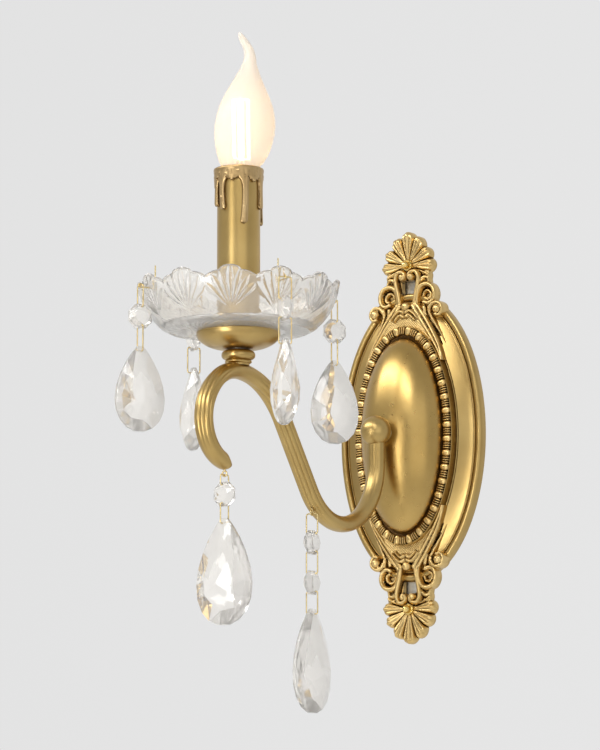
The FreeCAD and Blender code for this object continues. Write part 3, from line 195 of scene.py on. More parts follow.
class Shader:
    """Node tree with one Principled shader and short calls for what feeds it."""

    def __init__(self, name):
        self.material = bpy.data.materials.new(name)
        self.material.use_nodes = True
        self.tree = self.material.node_tree
        self.tree.nodes.clear()
        self.out = self.node("ShaderNodeOutputMaterial")
        self.bsdf = self.node("ShaderNodeBsdfPrincipled")
        self.join(self.bsdf, "BSDF", self.out, "Surface")
        self.place = self.node("ShaderNodeTexCoord")
        self.last_bump = None

    def node(self, kind, **settings):
        """New node with its settings."""
        item = self.tree.nodes.new(kind)
        for key, setting in settings.items():
            setattr(item, key, setting)
        return item

    def join(self, source, output, target, socket):
        """Link an output of one node to a socket of another."""
        self.tree.links.new(source.outputs[output], target.inputs[socket])

    def set(self, **sockets):
        """Constants on the shader's own sockets, with underscores for spaces."""
        for key, number in sockets.items():
            self.bsdf.inputs[key.replace("_", " ")].default_value = number

    def noise(self, scale, detail, stretch=(1, 1, 1)):
        """Noise on object coordinates, with a stretch along the axes."""
        mapping = self.node("ShaderNodeMapping")
        mapping.inputs["Scale"].default_value = stretch
        self.join(self.place, "Object", mapping, "Vector")
        noise = self.node("ShaderNodeTexNoise")
        noise.inputs["Scale"].default_value = scale
        noise.inputs["Detail"].default_value = detail
        noise.inputs["Roughness"].default_value = 0.55
        self.join(mapping, "Vector", noise, "Vector")
        return noise

    def ramp(self, source, stops, output="Fac"):
        """Colour ramp of (position, colour) stops fed by a noise or another output."""
        ramp = self.node("ShaderNodeValToRGB")
        while len(ramp.color_ramp.elements) < len(stops):
            ramp.color_ramp.elements.new(0.5)
        for element, (position, colour) in zip(ramp.color_ramp.elements, stops):
            element.position = position
            element.color = (*colour, 1.0)
        self.join(source, output, ramp, "Fac")
        return ramp

    def tone(self, source, deep, light, low=0.3, high=0.7, glow=False):
        """Colour from deep to light where the noise runs from low to high, of the glow too if asked."""
        tone = self.ramp(source, [(low, deep), (high, light)])
        self.join(tone, "Color", self.bsdf, "Base Color")
        if glow:
            self.join(tone, "Color", self.bsdf, "Emission Color")

    def roughness(self, source, low, high):
        """Roughness spread over low..high by a noise."""
        self.join(self.range(source, "Fac", low, high), "Result", self.bsdf, "Roughness")

    def range(self, source, output, low, high):
        """Spread a 0..1 value over low..high."""
        spread = self.node("ShaderNodeMapRange")
        spread.inputs["To Min"].default_value = low
        spread.inputs["To Max"].default_value = high
        self.join(source, output, spread, "Value")
        return spread

    def bump(self, source, depth):
        """Bump of a depth in metres by a noise, on top of those before it."""
        bump = self.node("ShaderNodeBump")
        bump.inputs["Distance"].default_value = depth
        bump.inputs["Strength"].default_value = 1.0
        self.join(source, "Fac", bump, "Height")
        if self.last_bump:
            self.join(self.last_bump, "Normal", bump, "Normal")
        self.join(bump, "Normal", self.bsdf, "Normal")
        self.last_bump = bump


# sockets of a colour Mix node by place, because their names repeat
BLEND_FACTOR, BLEND_FIRST, BLEND_SECOND, BLEND_RESULT = 0, 6, 7, 2


def brass(name, light, deep, low_rough, high_rough, brushing=(1, 1, 1), patina=False):
    """Satin brass: blotches of tone, fine brushing and soft dents, with dark patina where wear is high."""
    s = Shader(name)
    s.set(Metallic=1.0)
    colour, output = s.ramp(s.noise(38.0, 5.0), [(0.30, deep), (0.72, light)]), "Color"
    if patina:
        wear = s.node("ShaderNodeAttribute", attribute_name="wear")
        breakup = s.noise(420.0, 4.0)
        softened = s.node("ShaderNodeMath", operation="MULTIPLY_ADD")
        s.join(breakup, "Fac", softened, 0)
        softened.inputs[1].default_value = 0.5
        s.join(wear, "Fac", softened, 2)
        mask = s.ramp(softened, [(0.38, (0, 0, 0)), (0.95, (1, 1, 1))], "Value")
        dark = s.ramp(breakup, [(0.2, (0.045, 0.022, 0.008)), (0.8, (0.13, 0.07, 0.022))])
        blend = s.node("ShaderNodeMix", data_type="RGBA")
        for source, socket in ((mask, BLEND_FACTOR), (colour, BLEND_FIRST), (dark, BLEND_SECOND)):
            s.join(source, "Color", blend, socket)
        colour, output = blend, BLEND_RESULT
    s.join(colour, output, s.bsdf, "Base Color")
    s.roughness(s.noise(260.0, 3.0, brushing), low_rough, high_rough)
    s.bump(s.noise(900.0, 2.0, brushing), 0.00001)
    s.bump(s.noise(95.0, 3.0), 0.00006)
    return s.material


def milky_glass(name, colour, clear, rough, index, ripple_scale, ripple_depth, glow=0.0):
    """Pale glass: part of the light goes through, part is scattered, and some glows from within."""
    s = Shader(name)
    s.set(Transmission_Weight=clear, IOR=index, Roughness=rough, Emission_Strength=glow)
    s.tone(s.noise(30.0, 3.0), tuple(0.97 * c for c in colour), colour, glow=True)
    s.bump(s.noise(ripple_scale, 3.0), ripple_depth)
    return s.material


def plated_steel(name):
    """Zinc plate with a fine grain in tone and gloss."""
    s = Shader(name)
    s.set(Metallic=1.0)
    grain = s.noise(300.0, 4.0)
    s.tone(grain, (0.50, 0.50, 0.47), (0.68, 0.68, 0.66))
    s.roughness(grain, 0.28, 0.5)
    return s.material


def moulded(name, light, deep, rough):
    """Moulded plastic or fired ceramic with a faint mottle."""
    s = Shader(name)
    mottle = s.noise(120.0, 4.0)
    s.tone(mottle, deep, light)
    s.roughness(mottle, rough - 0.06, rough + 0.08)
    s.bump(s.noise(600.0, 2.0), 0.00002)
    return s.material


def glowing(name, colour, strength):
    """Phosphor coating that gives light, with a faint grain along the rod."""
    s = Shader(name)
    s.set(Emission_Strength=strength, Roughness=0.6)
    s.tone(s.noise(500.0, 2.0), tuple(0.9 * c for c in colour), colour, 0.2, 0.8, glow=True)
    return s.material


SATIN = brass("satin_brass", (0.53, 0.375, 0.145), (0.45, 0.305, 0.108), 0.26, 0.38, brushing=(1, 1, 0.08))
CAST = brass("cast_brass", (0.75, 0.545, 0.24), (0.61, 0.42, 0.162), 0.26, 0.40, patina=True)
BAND = brass("moulding_brass", (0.52, 0.365, 0.14), (0.43, 0.29, 0.102), 0.26, 0.40, patina=True)
SPUN = brass("spun_brass", (0.53, 0.36, 0.127), (0.45, 0.295, 0.095), 0.24, 0.34)
POLISHED = brass("polished_brass", (0.86, 0.66, 0.26), (0.78, 0.56, 0.18), 0.10, 0.2)
WIRE = brass("brass_wire", (0.80, 0.66, 0.36), (0.66, 0.50, 0.22), 0.2, 0.32)
WAX = brass("wax_brass", (0.62, 0.46, 0.24), (0.42, 0.28, 0.125), 0.28, 0.44, patina=True)
PRESSED = milky_glass("pressed_glass", (0.985, 0.96, 0.92), clear=0.84, rough=0.02, index=1.46,
                      ripple_scale=120.0, ripple_depth=0.00012)
CRYSTAL = milky_glass("cut_crystal", (0.985, 0.96, 0.92), clear=0.82, rough=0.0, index=1.5,
                      ripple_scale=30.0, ripple_depth=0.000005)
LAMP_GLASS = milky_glass("lamp_glass", (1.0, 0.94, 0.86), clear=0.72, rough=0.14, index=1.12,
                         ripple_scale=40.0, ripple_depth=0.00001, glow=0.03)
ZINC = plated_steel("zinc_plate")
CREAM = moulded("holder_cream", (0.80, 0.77, 0.70), (0.74, 0.70, 0.62), 0.45)
BLACK = moulded("black_insulator", (0.04, 0.04, 0.045), (0.02, 0.02, 0.025), 0.3)
GLOW = glowing("filament_glow", (1.0, 0.76, 0.40), 5.5)


def dress(obj, material, body="root", replaced=()):
    """Finish a new piece: material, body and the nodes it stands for."""
    obj.data.materials.clear()
    obj.data.materials.append(material)
    if replaced:
        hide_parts(*replaced)
    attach(obj, body)


def paint(node, material):
    """Give a node of the frame its material."""
    materials = NODES[node].data.materials
    if not materials:
        materials.append(material)
    for index in range(len(materials)):
        materials[index] = material


# ------------------------ wall plate

END_GROWTH = 48.0           # millimetres of inset that double it at the plate's ends


def oval_halves(inset):
    """Half width and half height of the plate's ovals: in height the inset counts once plus itself over
    END_GROWTH times, so the bands are broader at the ends."""
    return PLATE_HALF_WIDTH - inset, PLATE_HALF_HEIGHT - inset * (1 + inset / END_GROWTH)


def oval(inset, angle):
    """Point of the oval at an inset from the rim."""
    half_x, half_z = oval_halves(inset)
    return half_x * np.cos(angle), half_z * np.sin(angle)


def inset_at(x, z):
    """Inset of the oval that passes through a point, found by halving the range."""
    low, high = np.full(x.shape, -30.0), np.full(x.shape, 24.0)
    for _ in range(26):
        middle = (low + high) / 2
        half_x, half_z = oval_halves(middle)
        inside = (x / half_x) ** 2 + (z / half_z) ** 2 < 1
        low, high = np.where(inside, middle, low), np.where(inside, high, middle)
    return (low + high) / 2


def plate_profile():
    """Front of the moulding as (inset from the rim, depth off the wall, patina), from the rim inwards."""
    rows = [(0.0, 0.0, 0.2), (0.0, 1.6, 0.1)]
    for t in np.linspace(0, 1, 14):     # rounded rim, higher outside than inside
        base, rise = (3.4, 2.4) if t < 0.5 else (4.3, 1.5)
        rows.append((4.2 * t, base + rise * half_circle(2 * t - 1), 0.0))
    rows += [(4.35, 3.9, 0.95), (4.7, 3.9, 0.95)]     # dark groove
    for t in np.linspace(0, 1, 6):      # thin bead, dark at both feet
        rows.append((4.85 + 0.9 * t, 4.2 + 0.45 * math.sin(math.pi * t), 0.25 * (t in (0.0, 1.0))))
    for t in np.linspace(0, 1, 18):     # cove band
        rows.append((5.9 + 8.5 * t, 4.4 + 3.4 * t ** 1.3, 0.0 if 0.05 < t < 0.95 else 0.35))
    rows += [(14.5, 7.6, 0.9), (14.75, 7.6, 0.9)]
    for t in np.linspace(0, 1, 6):      # fillet
        rows.append((14.8 + 0.7 * t, 7.9 + 0.45 * math.sin(math.pi * t), 0.15))
    rows += [(15.55, 8.0, 0.7), (15.7, 9.5, 0.35), (15.85, 12.4, 0.1)]
    for t in np.linspace(0, 1, 7):      # round edge of the step
        rows.append((15.9 + 0.45 * t, 12.6 + 0.75 * math.sin(math.pi * (0.1 + 0.75 * t)), 0.0))
    # seat of the bead ring and the dark channel round the dome
    return rows + [(16.45, 12.4, 0.9), (18.0, 12.3, 1.0), (21.6, 12.3, 1.0), (21.9, 11.8, 1.0),
                   (24.5, 11.0, 1.0), (24.6, 10.6, 1.0)]


# hollow back of the moulding, from the channel out to the rim's foot, in the same three measures
PLATE_BACK = ((24.6, 10.5, 0.6), (18.5, 10.4, 0.4), (17.8, 6.2, 0.4), (5.0, 2.6, 0.4), (2.0, 2.0, 0.3),
              (2.0, 0.0, 0.3))


def make_plate_moulding():
    """Closed ring: the front profile and the hollow back, both carried round the ovals."""
    rows = np.vstack([plate_profile(), PLATE_BACK])
    x, z = oval(rows[:, :1], full_turn(400))
    return surface("plate_moulding", xyz(x, -rows[:, 1:2], z), close_rows=True, smooth_angle=50,
                   wear=rows[:, 2:3])


# strokes of the ornament's right half: centreline (x, z), half widths and heights off the wall at both ends
STROKES = (
    # upright beside the window that curls into a small volute under the nut
    (((5.2, 80.0), (6.2, 86.5), (7.7, 92.5), (8.1, 97.0), (6.6, 100.2), (3.8, 100.7), (1.6, 99.2),
      (1.7, 97.0), (3.3, 96.0), (4.4, 97.4)), 1.5, 1.0, 9.6, 10.4),
    # outer scroll loop and the inner curl that ends in its dark eye
    (((6.6, 80.2), (6.9, 85.6), (9.2, 90.6), (13.2, 92.2), (17.4, 90.6), (19.4, 86.4), (18.4, 82.0),
      (15.4, 80.2), (12.4, 81.0)), 1.55, 1.35, 9.2, 9.8),
    (((10.2, 85.0), (11.2, 87.6), (13.8, 88.4), (16.0, 86.6), (16.0, 84.0), (14.2, 82.9)),
     0.7, 1.0, 6.6, 7.6),
    # leaf tips on the neck
    (((8.8, 94.6), (11.6, 96.6), (14.0, 96.0), (14.8, 93.6)), 1.3, 0.8, 8.4, 7.6),
    (((11.0, 99.2), (13.8, 100.2), (15.0, 98.0)), 1.1, 0.7, 7.6, 7.0),
    # fronds that sweep down along the ring's step
    (((4.6, 79.2), (7.6, 74.8), (11.2, 69.8), (15.2, 64.2), (19.4, 57.8), (23.6, 50.8), (26.4, 44.6),
      (28.6, 38.6)), 1.5, 0.5, 10.4, 13.4),
    (((7.0, 79.8), (10.3, 75.6), (14.6, 69.6), (18.8, 62.8), (22.6, 56.0), (25.6, 49.2), (27.4, 43.6)),
     1.3, 0.5, 9.8, 12.4),
    (((12.5, 77.6), (13.7, 72.8), (17.4, 67.0), (21.2, 60.8), (24.6, 54.4)), 1.2, 0.3, 9.8, 7.2),
    (((16.6, 77.6), (16.4, 73.8), (19.4, 67.8), (23.0, 61.4), (26.4, 54.9)), 1.4, 0.3, 10.2, 6.6),
    # volute at the shoulder
    (((16.8, 76.8), (18.6, 79.2), (22.0, 79.9), (24.9, 78.0), (25.4, 74.8), (23.6, 72.3), (21.0, 72.6)),
     1.25, 1.0, 10.6, 10.8),
    # palmette under the bud
    (((0.9, 75.2), (3.4, 76.2), (6.2, 74.6), (9.0, 71.4)), 0.9, 0.5, 12.2, 12.6),
    (((0.6, 72.6), (2.4, 73.8), (4.6, 72.8), (7.0, 70.4)), 0.7, 0.5, 12.2, 12.4),
)
# round knobs on the strokes' ends, the bud and the palmette's heart: x, z, radius, height off the wall
KNOBS = ((3.5, 97.7, 1.5, 10.8), (22.1, 75.9, 2.9, 12.0), (0.0, 78.9, 3.0, 12.2), (1.7, 72.8, 1.0, 12.6))
NUT_Z = 104.7               # middle of the shell and its nut
WINDOW_HALF, WINDOW_LOW, WINDOW_TOP = 4.6, 84.7, 95.4     # pierced window: half width, lower and upper edge
GROUND = 6.2                # height of the ground behind the scrolls
EYE_X, EYE_Z, EYE_RADIUS, EYE_FLOOR = 13.4, 85.6, 5.6, 4.3     # hollow inside each scroll loop
FAN_STEP, FAN_END = 31.0, 121.0     # degrees from lobe to lobe, and from upright to the shell's end
RING_ROOM = 16.6            # inset at which the ornament stops for the bead ring


def smooth_line(points, count=36):
    """Smooth curve through the points: each stretch is a cubic, sampled evenly, and the slope at a point is
    half the way between its neighbours."""
    p = np.asarray(points, float)
    p = np.vstack([2 * p[0] - p[1], p, 2 * p[-1] - p[-2]])
    t = np.linspace(0, len(p) - 3 - 1e-9, count)
    i, f = t.astype(int), (t % 1)[:, None]
    a, b, c, d = p[i], p[i + 1], p[i + 2], p[i + 3]
    square, cube = 2 * a - 5 * b + 4 * c - d, 3 * b - a - 3 * c + d
    return 0.5 * (2 * b + (c - a) * f + square * f ** 2 + cube * f ** 3)


def stroke_field(x, z, points, start, end):
    """Signed distance to a curved stroke's edge, the distance from its line as a share of the half width,
    and the place along it from 0 to 1."""
    line = smooth_line(points)
    best, share, along = (np.full(x.shape, first) for first in (1e9, 1e9, 0.0))
    for a, b, t in zip(line[:-1], line[1:], np.linspace(0, 1, len(line))):
        ab = b - a
        near = unit(((x - a[0]) * ab[0] + (z - a[1]) * ab[1]) / (ab @ ab))
        d = np.hypot(x - a[0] - near * ab[0], z - a[1] - near * ab[1])
        half = start + (end - start) * t
        closer = d - half < best
        best = np.where(closer, d - half, best)
        share = np.where(closer, d / half, share)
        along = np.where(closer, t, along)
    return best, share, along


def fan_field(side, z):
    """Shell at the tip: lobes every FAN_STEP degrees round the nut, each a rounded rib with three fine
    reeds that turns down at its scalloped end."""
    radius, angle = np.hypot(side, z - NUT_Z), np.arctan2(side, z - NUT_Z)
    turn = np.degrees(angle)
    lobe = np.abs(np.cos(np.pi * turn / FAN_STEP))
    reach = 17.6 + 3.2 * unit(np.cos(angle)) ** 6 + 0.9 * np.sin(angle) ** 8
    edge = np.maximum(radius - (reach - 2.2 * (1 - lobe ** 0.8)), (turn - FAN_END) * 0.25)
    rib = (0.9 + 0.10 * radius) * lobe ** 0.6
    fine_reeds = 0.42 * np.cos(6 * np.pi * turn / FAN_STEP) * unit(radius / 12)
    end = unit(-edge / 3.4)
    high = GROUND + 0.3 + (rib + fine_reeds) - 3.0 * (1 - half_circle(1 - end))
    return edge, np.where(radius > 3.4, high, GROUND)


def ornament_field(x, z):
    """Edge distance (negative inside) and height of the upper ornament at points (x, z)."""
    side = np.abs(x)
    inset = inset_at(x, z)
    edge, high = np.full(x.shape, 1e9), np.full(x.shape, 0.0)

    def add(distance, height):
        """Join one form: where it lies the highest form wins, and the outline grows to take it in."""
        nonlocal edge, high
        high = np.where(distance < 0.35, np.maximum(high, height), high)
        edge = np.minimum(edge, distance)
    # ground behind the scrolls, outside the moulding only, hollowed inside the loops
    hollow = unit((EYE_RADIUS - np.hypot(side - EYE_X, z - EYE_Z)) / 1.6)
    ground = GROUND - (GROUND - EYE_FLOOR) * hollow
    for half, top in ((14.0 + np.clip((91 - z) * 0.9, 0, 5.8), 104.0),        # neck
                      (25.5 - np.clip((z - 76.0) * 1.5, 0, 30), 83.0)):       # shoulder
        add(np.maximum.reduce([side - half, z - top, inset - 1.2]), ground)
    add(*fan_field(side, z))
    for points, start, end, low, top in STROKES:
        distance, share, along = stroke_field(side, z, points, start, end)
        round_top = half_circle(share)
        add(distance, low + (top - low) * along - (start + end) * 0.75 * (1 - round_top))
    for knob_x, knob_z, radius, top in KNOBS:
        distance = np.hypot(side - knob_x, z - knob_z) - radius
        round_top = half_circle((distance + radius) / radius)
        add(distance, top - radius * (1 - round_top))
    # stippled field between the bud, the inner fronds and the ring
    field = np.maximum.reduce([(z + 1.45 * side - 85.4) / 1.76, z - 76.5, inset - 16.4, side - 19.0])
    add(field, 10.9 + 0.4 * np.sin(x * 4.2) * np.sin(z * 4.2))
    window = np.maximum(side - WINDOW_HALF,
                        np.abs(z - (WINDOW_LOW + WINDOW_TOP) / 2) - (WINDOW_TOP - WINDOW_LOW) / 2)
    return np.maximum.reduce([edge, -window, inset - RING_ROOM]), high


def hollow_wear(height, rounds=6):
    """Wear of a height field: more where a point lies below the average of its neighbourhood."""
    blur = height.copy()
    for _ in range(rounds):
        blur[1:-1, 1:-1] = (blur[1:-1, 1:-1] * 2 + blur[:-2, 1:-1] + blur[2:, 1:-1] + blur[1:-1, :-2]
                            + blur[1:-1, 2:]) / 6
    return unit((blur - height) * 1.6 + 0.12)


def relief(name, low, high, step, field, place, back, flip=1.0):
    """Height field cut along its own outline, with a wall to a flat back.  The field gives edge distance
    and height at grid points from low to high, place puts them in the model, and flip -1 turns it over."""
    x, z = np.meshgrid(*(np.arange(low[i], high[i] + step, step) for i in range(2)))
    edge, _ = field(x, z)
    # grid points just outside are pulled onto the edge, down the slope of the edge distance
    margin = 1.5 * step
    slope_z, slope_x = np.gradient(edge, step)
    steepness = slope_x ** 2 + slope_z ** 2 + 1e-9
    near = (edge > 0) & (edge < margin)
    x = np.where(near, x - edge * slope_x / steepness, x)
    z = np.where(near, z - edge * slope_z / steepness, z)
    _, height = field(x, z)
    quads = grid_faces(*x.shape, False, False)
    quads = quads[(edge < margin).ravel()[quads].all(1)]
    quads = quads[(edge.ravel()[quads] < 0).any(1)]
    count = x.size
    front, rear = (place(x.ravel(), z.ravel(), h) for h in (height.ravel(), np.full(count, back)))
    # an edge that only one quad uses lies on the rim and carries a piece of the wall
    edges = np.concatenate([quads[:, [i, (i + 1) % 4]] for i in range(4)])
    ends = np.sort(edges, 1).astype(np.int64)
    _, first, uses = np.unique(ends[:, 0] * count + ends[:, 1], return_index=True, return_counts=True)
    rim = edges[first[uses == 1]]
    walls = np.stack([rim[:, 1], rim[:, 0], rim[:, 0] + count, rim[:, 1] + count], 1)
    faces = np.vstack([quads, quads[:, ::-1] + count, walls])
    used, renumbered = np.unique(faces, return_inverse=True)
    verts = np.vstack([front, rear])[used]
    verts[:, 2] *= flip
    obj = make_object(name, verts, renumbered.reshape(faces.shape), 60)
    set_wear(obj, np.concatenate([hollow_wear(height).ravel(), np.full(count, 0.3)])[used])
    return tidy(obj)


def plate_room(x, z, h):
    """Place of an ornament point: straight off the wall."""
    return xyz(x, -h, z)


dress(make_plate_moulding(), BAND, replaced=("backplate",))
for title, flip in (("upper_ornament", 1.0), ("lower_ornament", -1.0)):
    piece = relief(title, (-33.0, 44.0), (33.0, 126.4), 0.33, ornament_field, plate_room, 3.0, flip)
    dress(piece, CAST, replaced=("backplate",))


# ------------------------ bead ring, dome, cap nuts

RING_HALF = 2.6             # half the ring's width
BEADS, BEAD_SAMPLES = 36, 64
BEAD_HALF, BAR_HALF, BAR_STEP = 2.1, 0.46, 1.4     # half lengths of a bead and a bar, and from bar to bar


def hump(offset, half):
    """Round hump: 1 in the middle, 0 from the half length on."""
    return unit(1 - (offset / half) ** 2)


def oval_by_length(half_x, half_z, count):
    """Points at equal steps round an ellipse from its top, with the outward normal of each."""
    t = np.linspace(0, 2 * np.pi, 20001)
    x, z = half_x * np.sin(t), half_z * np.cos(t)
    run = np.concatenate([[0], np.cumsum(np.hypot(np.diff(x), np.diff(z)))])
    t = np.interp(np.linspace(0, run[-1], count, endpoint=False), run, t)
    normal = np.stack([np.sin(t) / half_x, np.cos(t) / half_z], -1)
    normal /= np.linalg.norm(normal, axis=1)[:, None]
    return np.stack([half_x * np.sin(t), half_z * np.cos(t)], -1), normal, run[-1]


def make_bead_ring():
    """Bead-and-reel moulding: a squarish half round that swells into a bead and three bars by turns."""
    line, normal, length = oval_by_length(RING_HIGH[0] - RING_HALF, RING_HIGH[2] - RING_HALF,
                                          BEADS * BEAD_SAMPLES)
    pitch = length / BEADS
    run = (np.arange(BEADS * BEAD_SAMPLES) % BEAD_SAMPLES) / BEAD_SAMPLES * pitch
    off = np.abs((run + pitch / 2) % pitch - pitch / 2)     # distance from the middle bar
    bead = hump(pitch / 2 - off, BEAD_HALF) ** 0.38
    bars = np.maximum(hump(off, BAR_HALF), hump(off - BAR_STEP, BAR_HALF)) ** 0.35
    wide = np.maximum(np.maximum(2.75 * bead ** 0.8, 2.5 * bars), 1.6)
    tall = np.maximum(np.maximum(2.1 * bead, 1.9 * bars), 0.3)
    around = np.radians(np.linspace(-8, 188, 17))
    # powers below 1 push the half round out towards a square
    side, rise = (np.sign(v) * np.abs(v) ** 0.6 * size[:, None]
                  for v, size in ((np.cos(around), wide), (np.sin(around), tall)))
    x = line[:, :1] + normal[:, :1] * side
    z = line[:, 1:] + normal[:, 1:] * side
    y = RING_HIGH[1] - 0.55 - np.clip(rise, -0.3, None)
    wear = unit(1.1 - tall / 1.3)[:, None] + unit(0.3 - np.sin(around))
    return surface("bead_and_reel", xyz(x, y, z), close_rows=True, smooth_angle=60,
                   wear=unit(wear))


def make_dome(base=9.0, wall=1.4):
    """Half ellipsoid shell, open at the back, that all but fills the ring."""
    half_x, half_z = RING_HIGH[0] - 2 * RING_HALF - 0.5, RING_HIGH[2] - 2 * RING_HALF - 0.9
    top = -DOME_LOW[1]
    t = np.linspace(0.015, np.pi / 2, 40)[:, None]
    a = full_turn(180)

    def shell(trim):
        """Rings from the crown to the base, a trim inside the outer face."""
        return xyz((half_x - trim) * np.sin(t) * np.cos(a), -(base + (top - base - trim) * np.cos(t)),
                   (half_z - trim) * np.sin(t) * np.sin(a))
    return surface("dome_shell", np.concatenate([shell(0), shell(wall)[::-1]]), close_rows=True,
                   smooth_angle=60)


def make_cap_nuts(across=6.6, skirt=3.0):
    """Two small domed nuts on the ornaments' studs, with a hexagon skirt."""
    low, high = span("cap_nuts")
    seat, front = -high[1], -low[1]
    a = full_turn(48)
    hexagon = across / 2 / np.maximum.reduce([np.abs(np.cos(a - k * np.pi / 3)) for k in range(3)])
    plain = np.full(a.shape, 2.9)
    # rings as (outline, share of its size, height above the seat)
    rings = [(plain, 0.02, 0.0), (hexagon, 1.0, 0.0), (hexagon, 1.0, 1.8), (hexagon, 0.94, 2.1),
             (plain, 0.9, 2.2), (plain, 0.88, skirt)]
    rings += [(plain, 0.88 * math.cos(q), skirt + (front - seat - skirt) * math.sin(q))
              for q in np.linspace(0.15, 1.55, 9)]
    radius = np.array([outline * share for outline, share, _ in rings])
    y = -np.array([seat + rise for _, _, rise in rings])[:, None]
    return merged("plate_cap_nuts", [
        surface("cap_nut", xyz(radius * np.cos(a), y, sign * NUT_Z + radius * np.sin(a)), smooth_angle=35)
        for sign in (1, -1)])


dress(make_bead_ring(), CAST, replaced=("bead_ring",))
dress(make_dome(), SPUN, replaced=("dome",))
dress(make_cap_nuts(), POLISHED, replaced=("cap_nuts",))


# ------------------------ arm

BALL_OUT, BALL_Z = 43.5, -0.9       # middle of the root ball: off the wall, above the plate's middle
ARM_TOP, ARM_REACH = 17.6, 187.0    # crest of the arm, right under the candle
ARM_DROP = 20.0                     # straight piece down from the ball
BEND, RISE = 39.4, 54.5             # radius of the low bend and degrees of the rise after it
CROOK, CROOK_TURN = 35.0, 64.6      # radii and turns of the crook and its tip
TIP, TIP_TURN = 23.5, 112.5
ARM_HALF_WIDE, ARM_HALF_DEEP = 5.7, 4.75
REEDS, REED_DEPTH = 10, 0.36


def arm_steps():
    """The arm's centreline as (kind, length or radius, degrees of turn): drop, bend, rise, easing arc,
    crook and tip.  The rise and the easing arc are solved so that the crest lies under the candle."""
    rise = math.radians(RISE)
    out = ARM_REACH - BALL_OUT - BEND * (1 + math.sin(rise))
    up = ARM_TOP - (BALL_Z - ARM_DROP) + BEND * math.cos(rise)
    easing = (out * math.sin(rise) - up * math.cos(rise)) / (
        math.sin(rise) ** 2 - math.cos(rise) * (1 - math.cos(rise)))
    straight = (out - easing * math.sin(rise)) / math.cos(rise)
    return (("line", ARM_DROP, 0), ("arc", BEND, 90 + RISE), ("line", straight, 0), ("arc", easing, -RISE),
            ("arc", CROOK, -CROOK_TURN), ("arc", TIP, -TIP_TURN))


def along_step(start, kind, amount, turn, share):
    """Place (out, up, heading in degrees) a share of the way along a step: a line runs on by its length,
    an arc turns left (turn above 0) or right about a centre at its radius."""
    out, up, heading = start
    now, then = math.radians(heading), math.radians(heading + turn * share)
    if kind == "line":
        return out + math.cos(now) * amount * share, up + math.sin(now) * amount * share, heading
    radius = math.copysign(amount, turn)
    return (out + radius * (math.sin(then) - math.sin(now)), up - radius * (math.cos(then) - math.cos(now)),
            heading + turn * share)


def arm_line(spacing=1.1):
    """Points (out, up), headings in radians and run length along the centreline."""
    place, run, rows = (BALL_OUT, BALL_Z, -90.0), 0.0, []
    for kind, amount, turn in arm_steps():
        length = amount if kind == "line" else amount * math.radians(abs(turn))
        count = max(2, int(length / spacing))
        for share in np.arange(count) / count:
            rows.append((*along_step(place, kind, amount, turn, share), run + length * share))
        place = along_step(place, kind, amount, turn, 1.0)
        run += length
    rows = np.array(rows + [(*place, run)])
    return rows[:, :2], np.radians(rows[:, 2]), rows[:, 3]


def ease(x, low, high):
    """Ease from 0 at low to 1 at high: three times the share's square less twice its cube."""
    t = unit((x - low) / (high - low))
    return t * t * (3 - 2 * t)


def make_arm():
    """Oval tube along the centreline.  Ten round reeds run along it and fade at the crest, in the bend and
    towards the ends; the tip thins to a blunt tongue on the side that carries the eye."""
    points, heading, run = arm_line()
    total = run[-1]
    around = full_turn(168)
    reeds = 2 * np.abs(np.cos(REEDS / 2 * around)) ** 0.75 - 1
    rise_start = ARM_DROP + BEND * math.radians(90 + RISE)
    crest = total - TIP * math.radians(TIP_TURN) - CROOK * math.radians(CROOK_TURN)
    # the reeds stand out along the rise, round the crook and, faintly, at the root
    lift = ease(run, rise_start - 36, rise_start + 4) * (1 - ease(run, crest - 30, crest - 4))
    lift += ease(run, crest + 8, crest + 30) * (1 - ease(run, total - 34, total - 12))
    lift += 0.3 * (1 - ease(run, 30, 60))
    grow = REED_DEPTH * lift[:, None] * (reeds - 1)
    # the tongue: thinner and narrower at last, rounded shut at its very end
    left = unit((total - run) / 6.5)[:, None]
    thin = 0.44 + 0.56 * np.sin(left * np.pi / 2) ** 1.2
    narrow = 0.82 + 0.18 * left ** 0.6
    close = half_circle(1 - unit((total - run) / 1.6))[:, None]
    close[-1] = 0.02
    side = (ARM_HALF_WIDE + grow) * np.cos(around) * narrow * close
    normal = ((ARM_HALF_DEEP + grow) * np.sin(around) * close - ARM_HALF_DEEP) * thin + ARM_HALF_DEEP
    out = points[:, :1] - np.sin(heading)[:, None] * normal
    up = points[:, 1:] + np.cos(heading)[:, None] * normal
    return surface("reeded_arm", xyz(side, -out, up), smooth_angle=70)


def make_root_ball():
    """Ball where the arm drops off the dome."""
    t = np.linspace(-np.pi / 2 + 0.01, np.pi / 2 - 0.01, 40)
    radius = (BALL_HIGH[0] - BALL_LOW[0]) / 2 + 0.02
    profile = np.stack([radius * np.cos(t), BALL_Z + radius * np.sin(t)], -1)
    return turned("root_ball", profile, -BALL_OUT, closed=False)


def make_knuckle():
    """Flattened ball with full sides over a smaller ring, cut flat where the cup stands."""
    low, high = KNUCKLE_LOW[2] - 1.4, KNUCKLE_HIGH[2] - 0.05
    radius = (KNUCKLE_HIGH[0] - KNUCKLE_LOW[0]) / 2
    ball_z, ball_half, ring_z, ring_half = 26.5, 3.7, 22.7, 1.7
    z = np.linspace(low, high, 44)
    ball = radius * unit(1 - np.abs((z - ball_z) / ball_half) ** 2.5) ** 0.4
    ring = 0.80 * radius * unit(1 - np.abs((z - ring_z) / ring_half) ** 2.2) ** 0.45
    outer = np.maximum(np.maximum(ball, ring), 0.66 * radius)
    profile = [(TUBE_BORE, low)] + list(zip(outer, z)) + [(TUBE_BORE, high)]
    return turned("turned_knuckle", profile, smooth_angle=50)


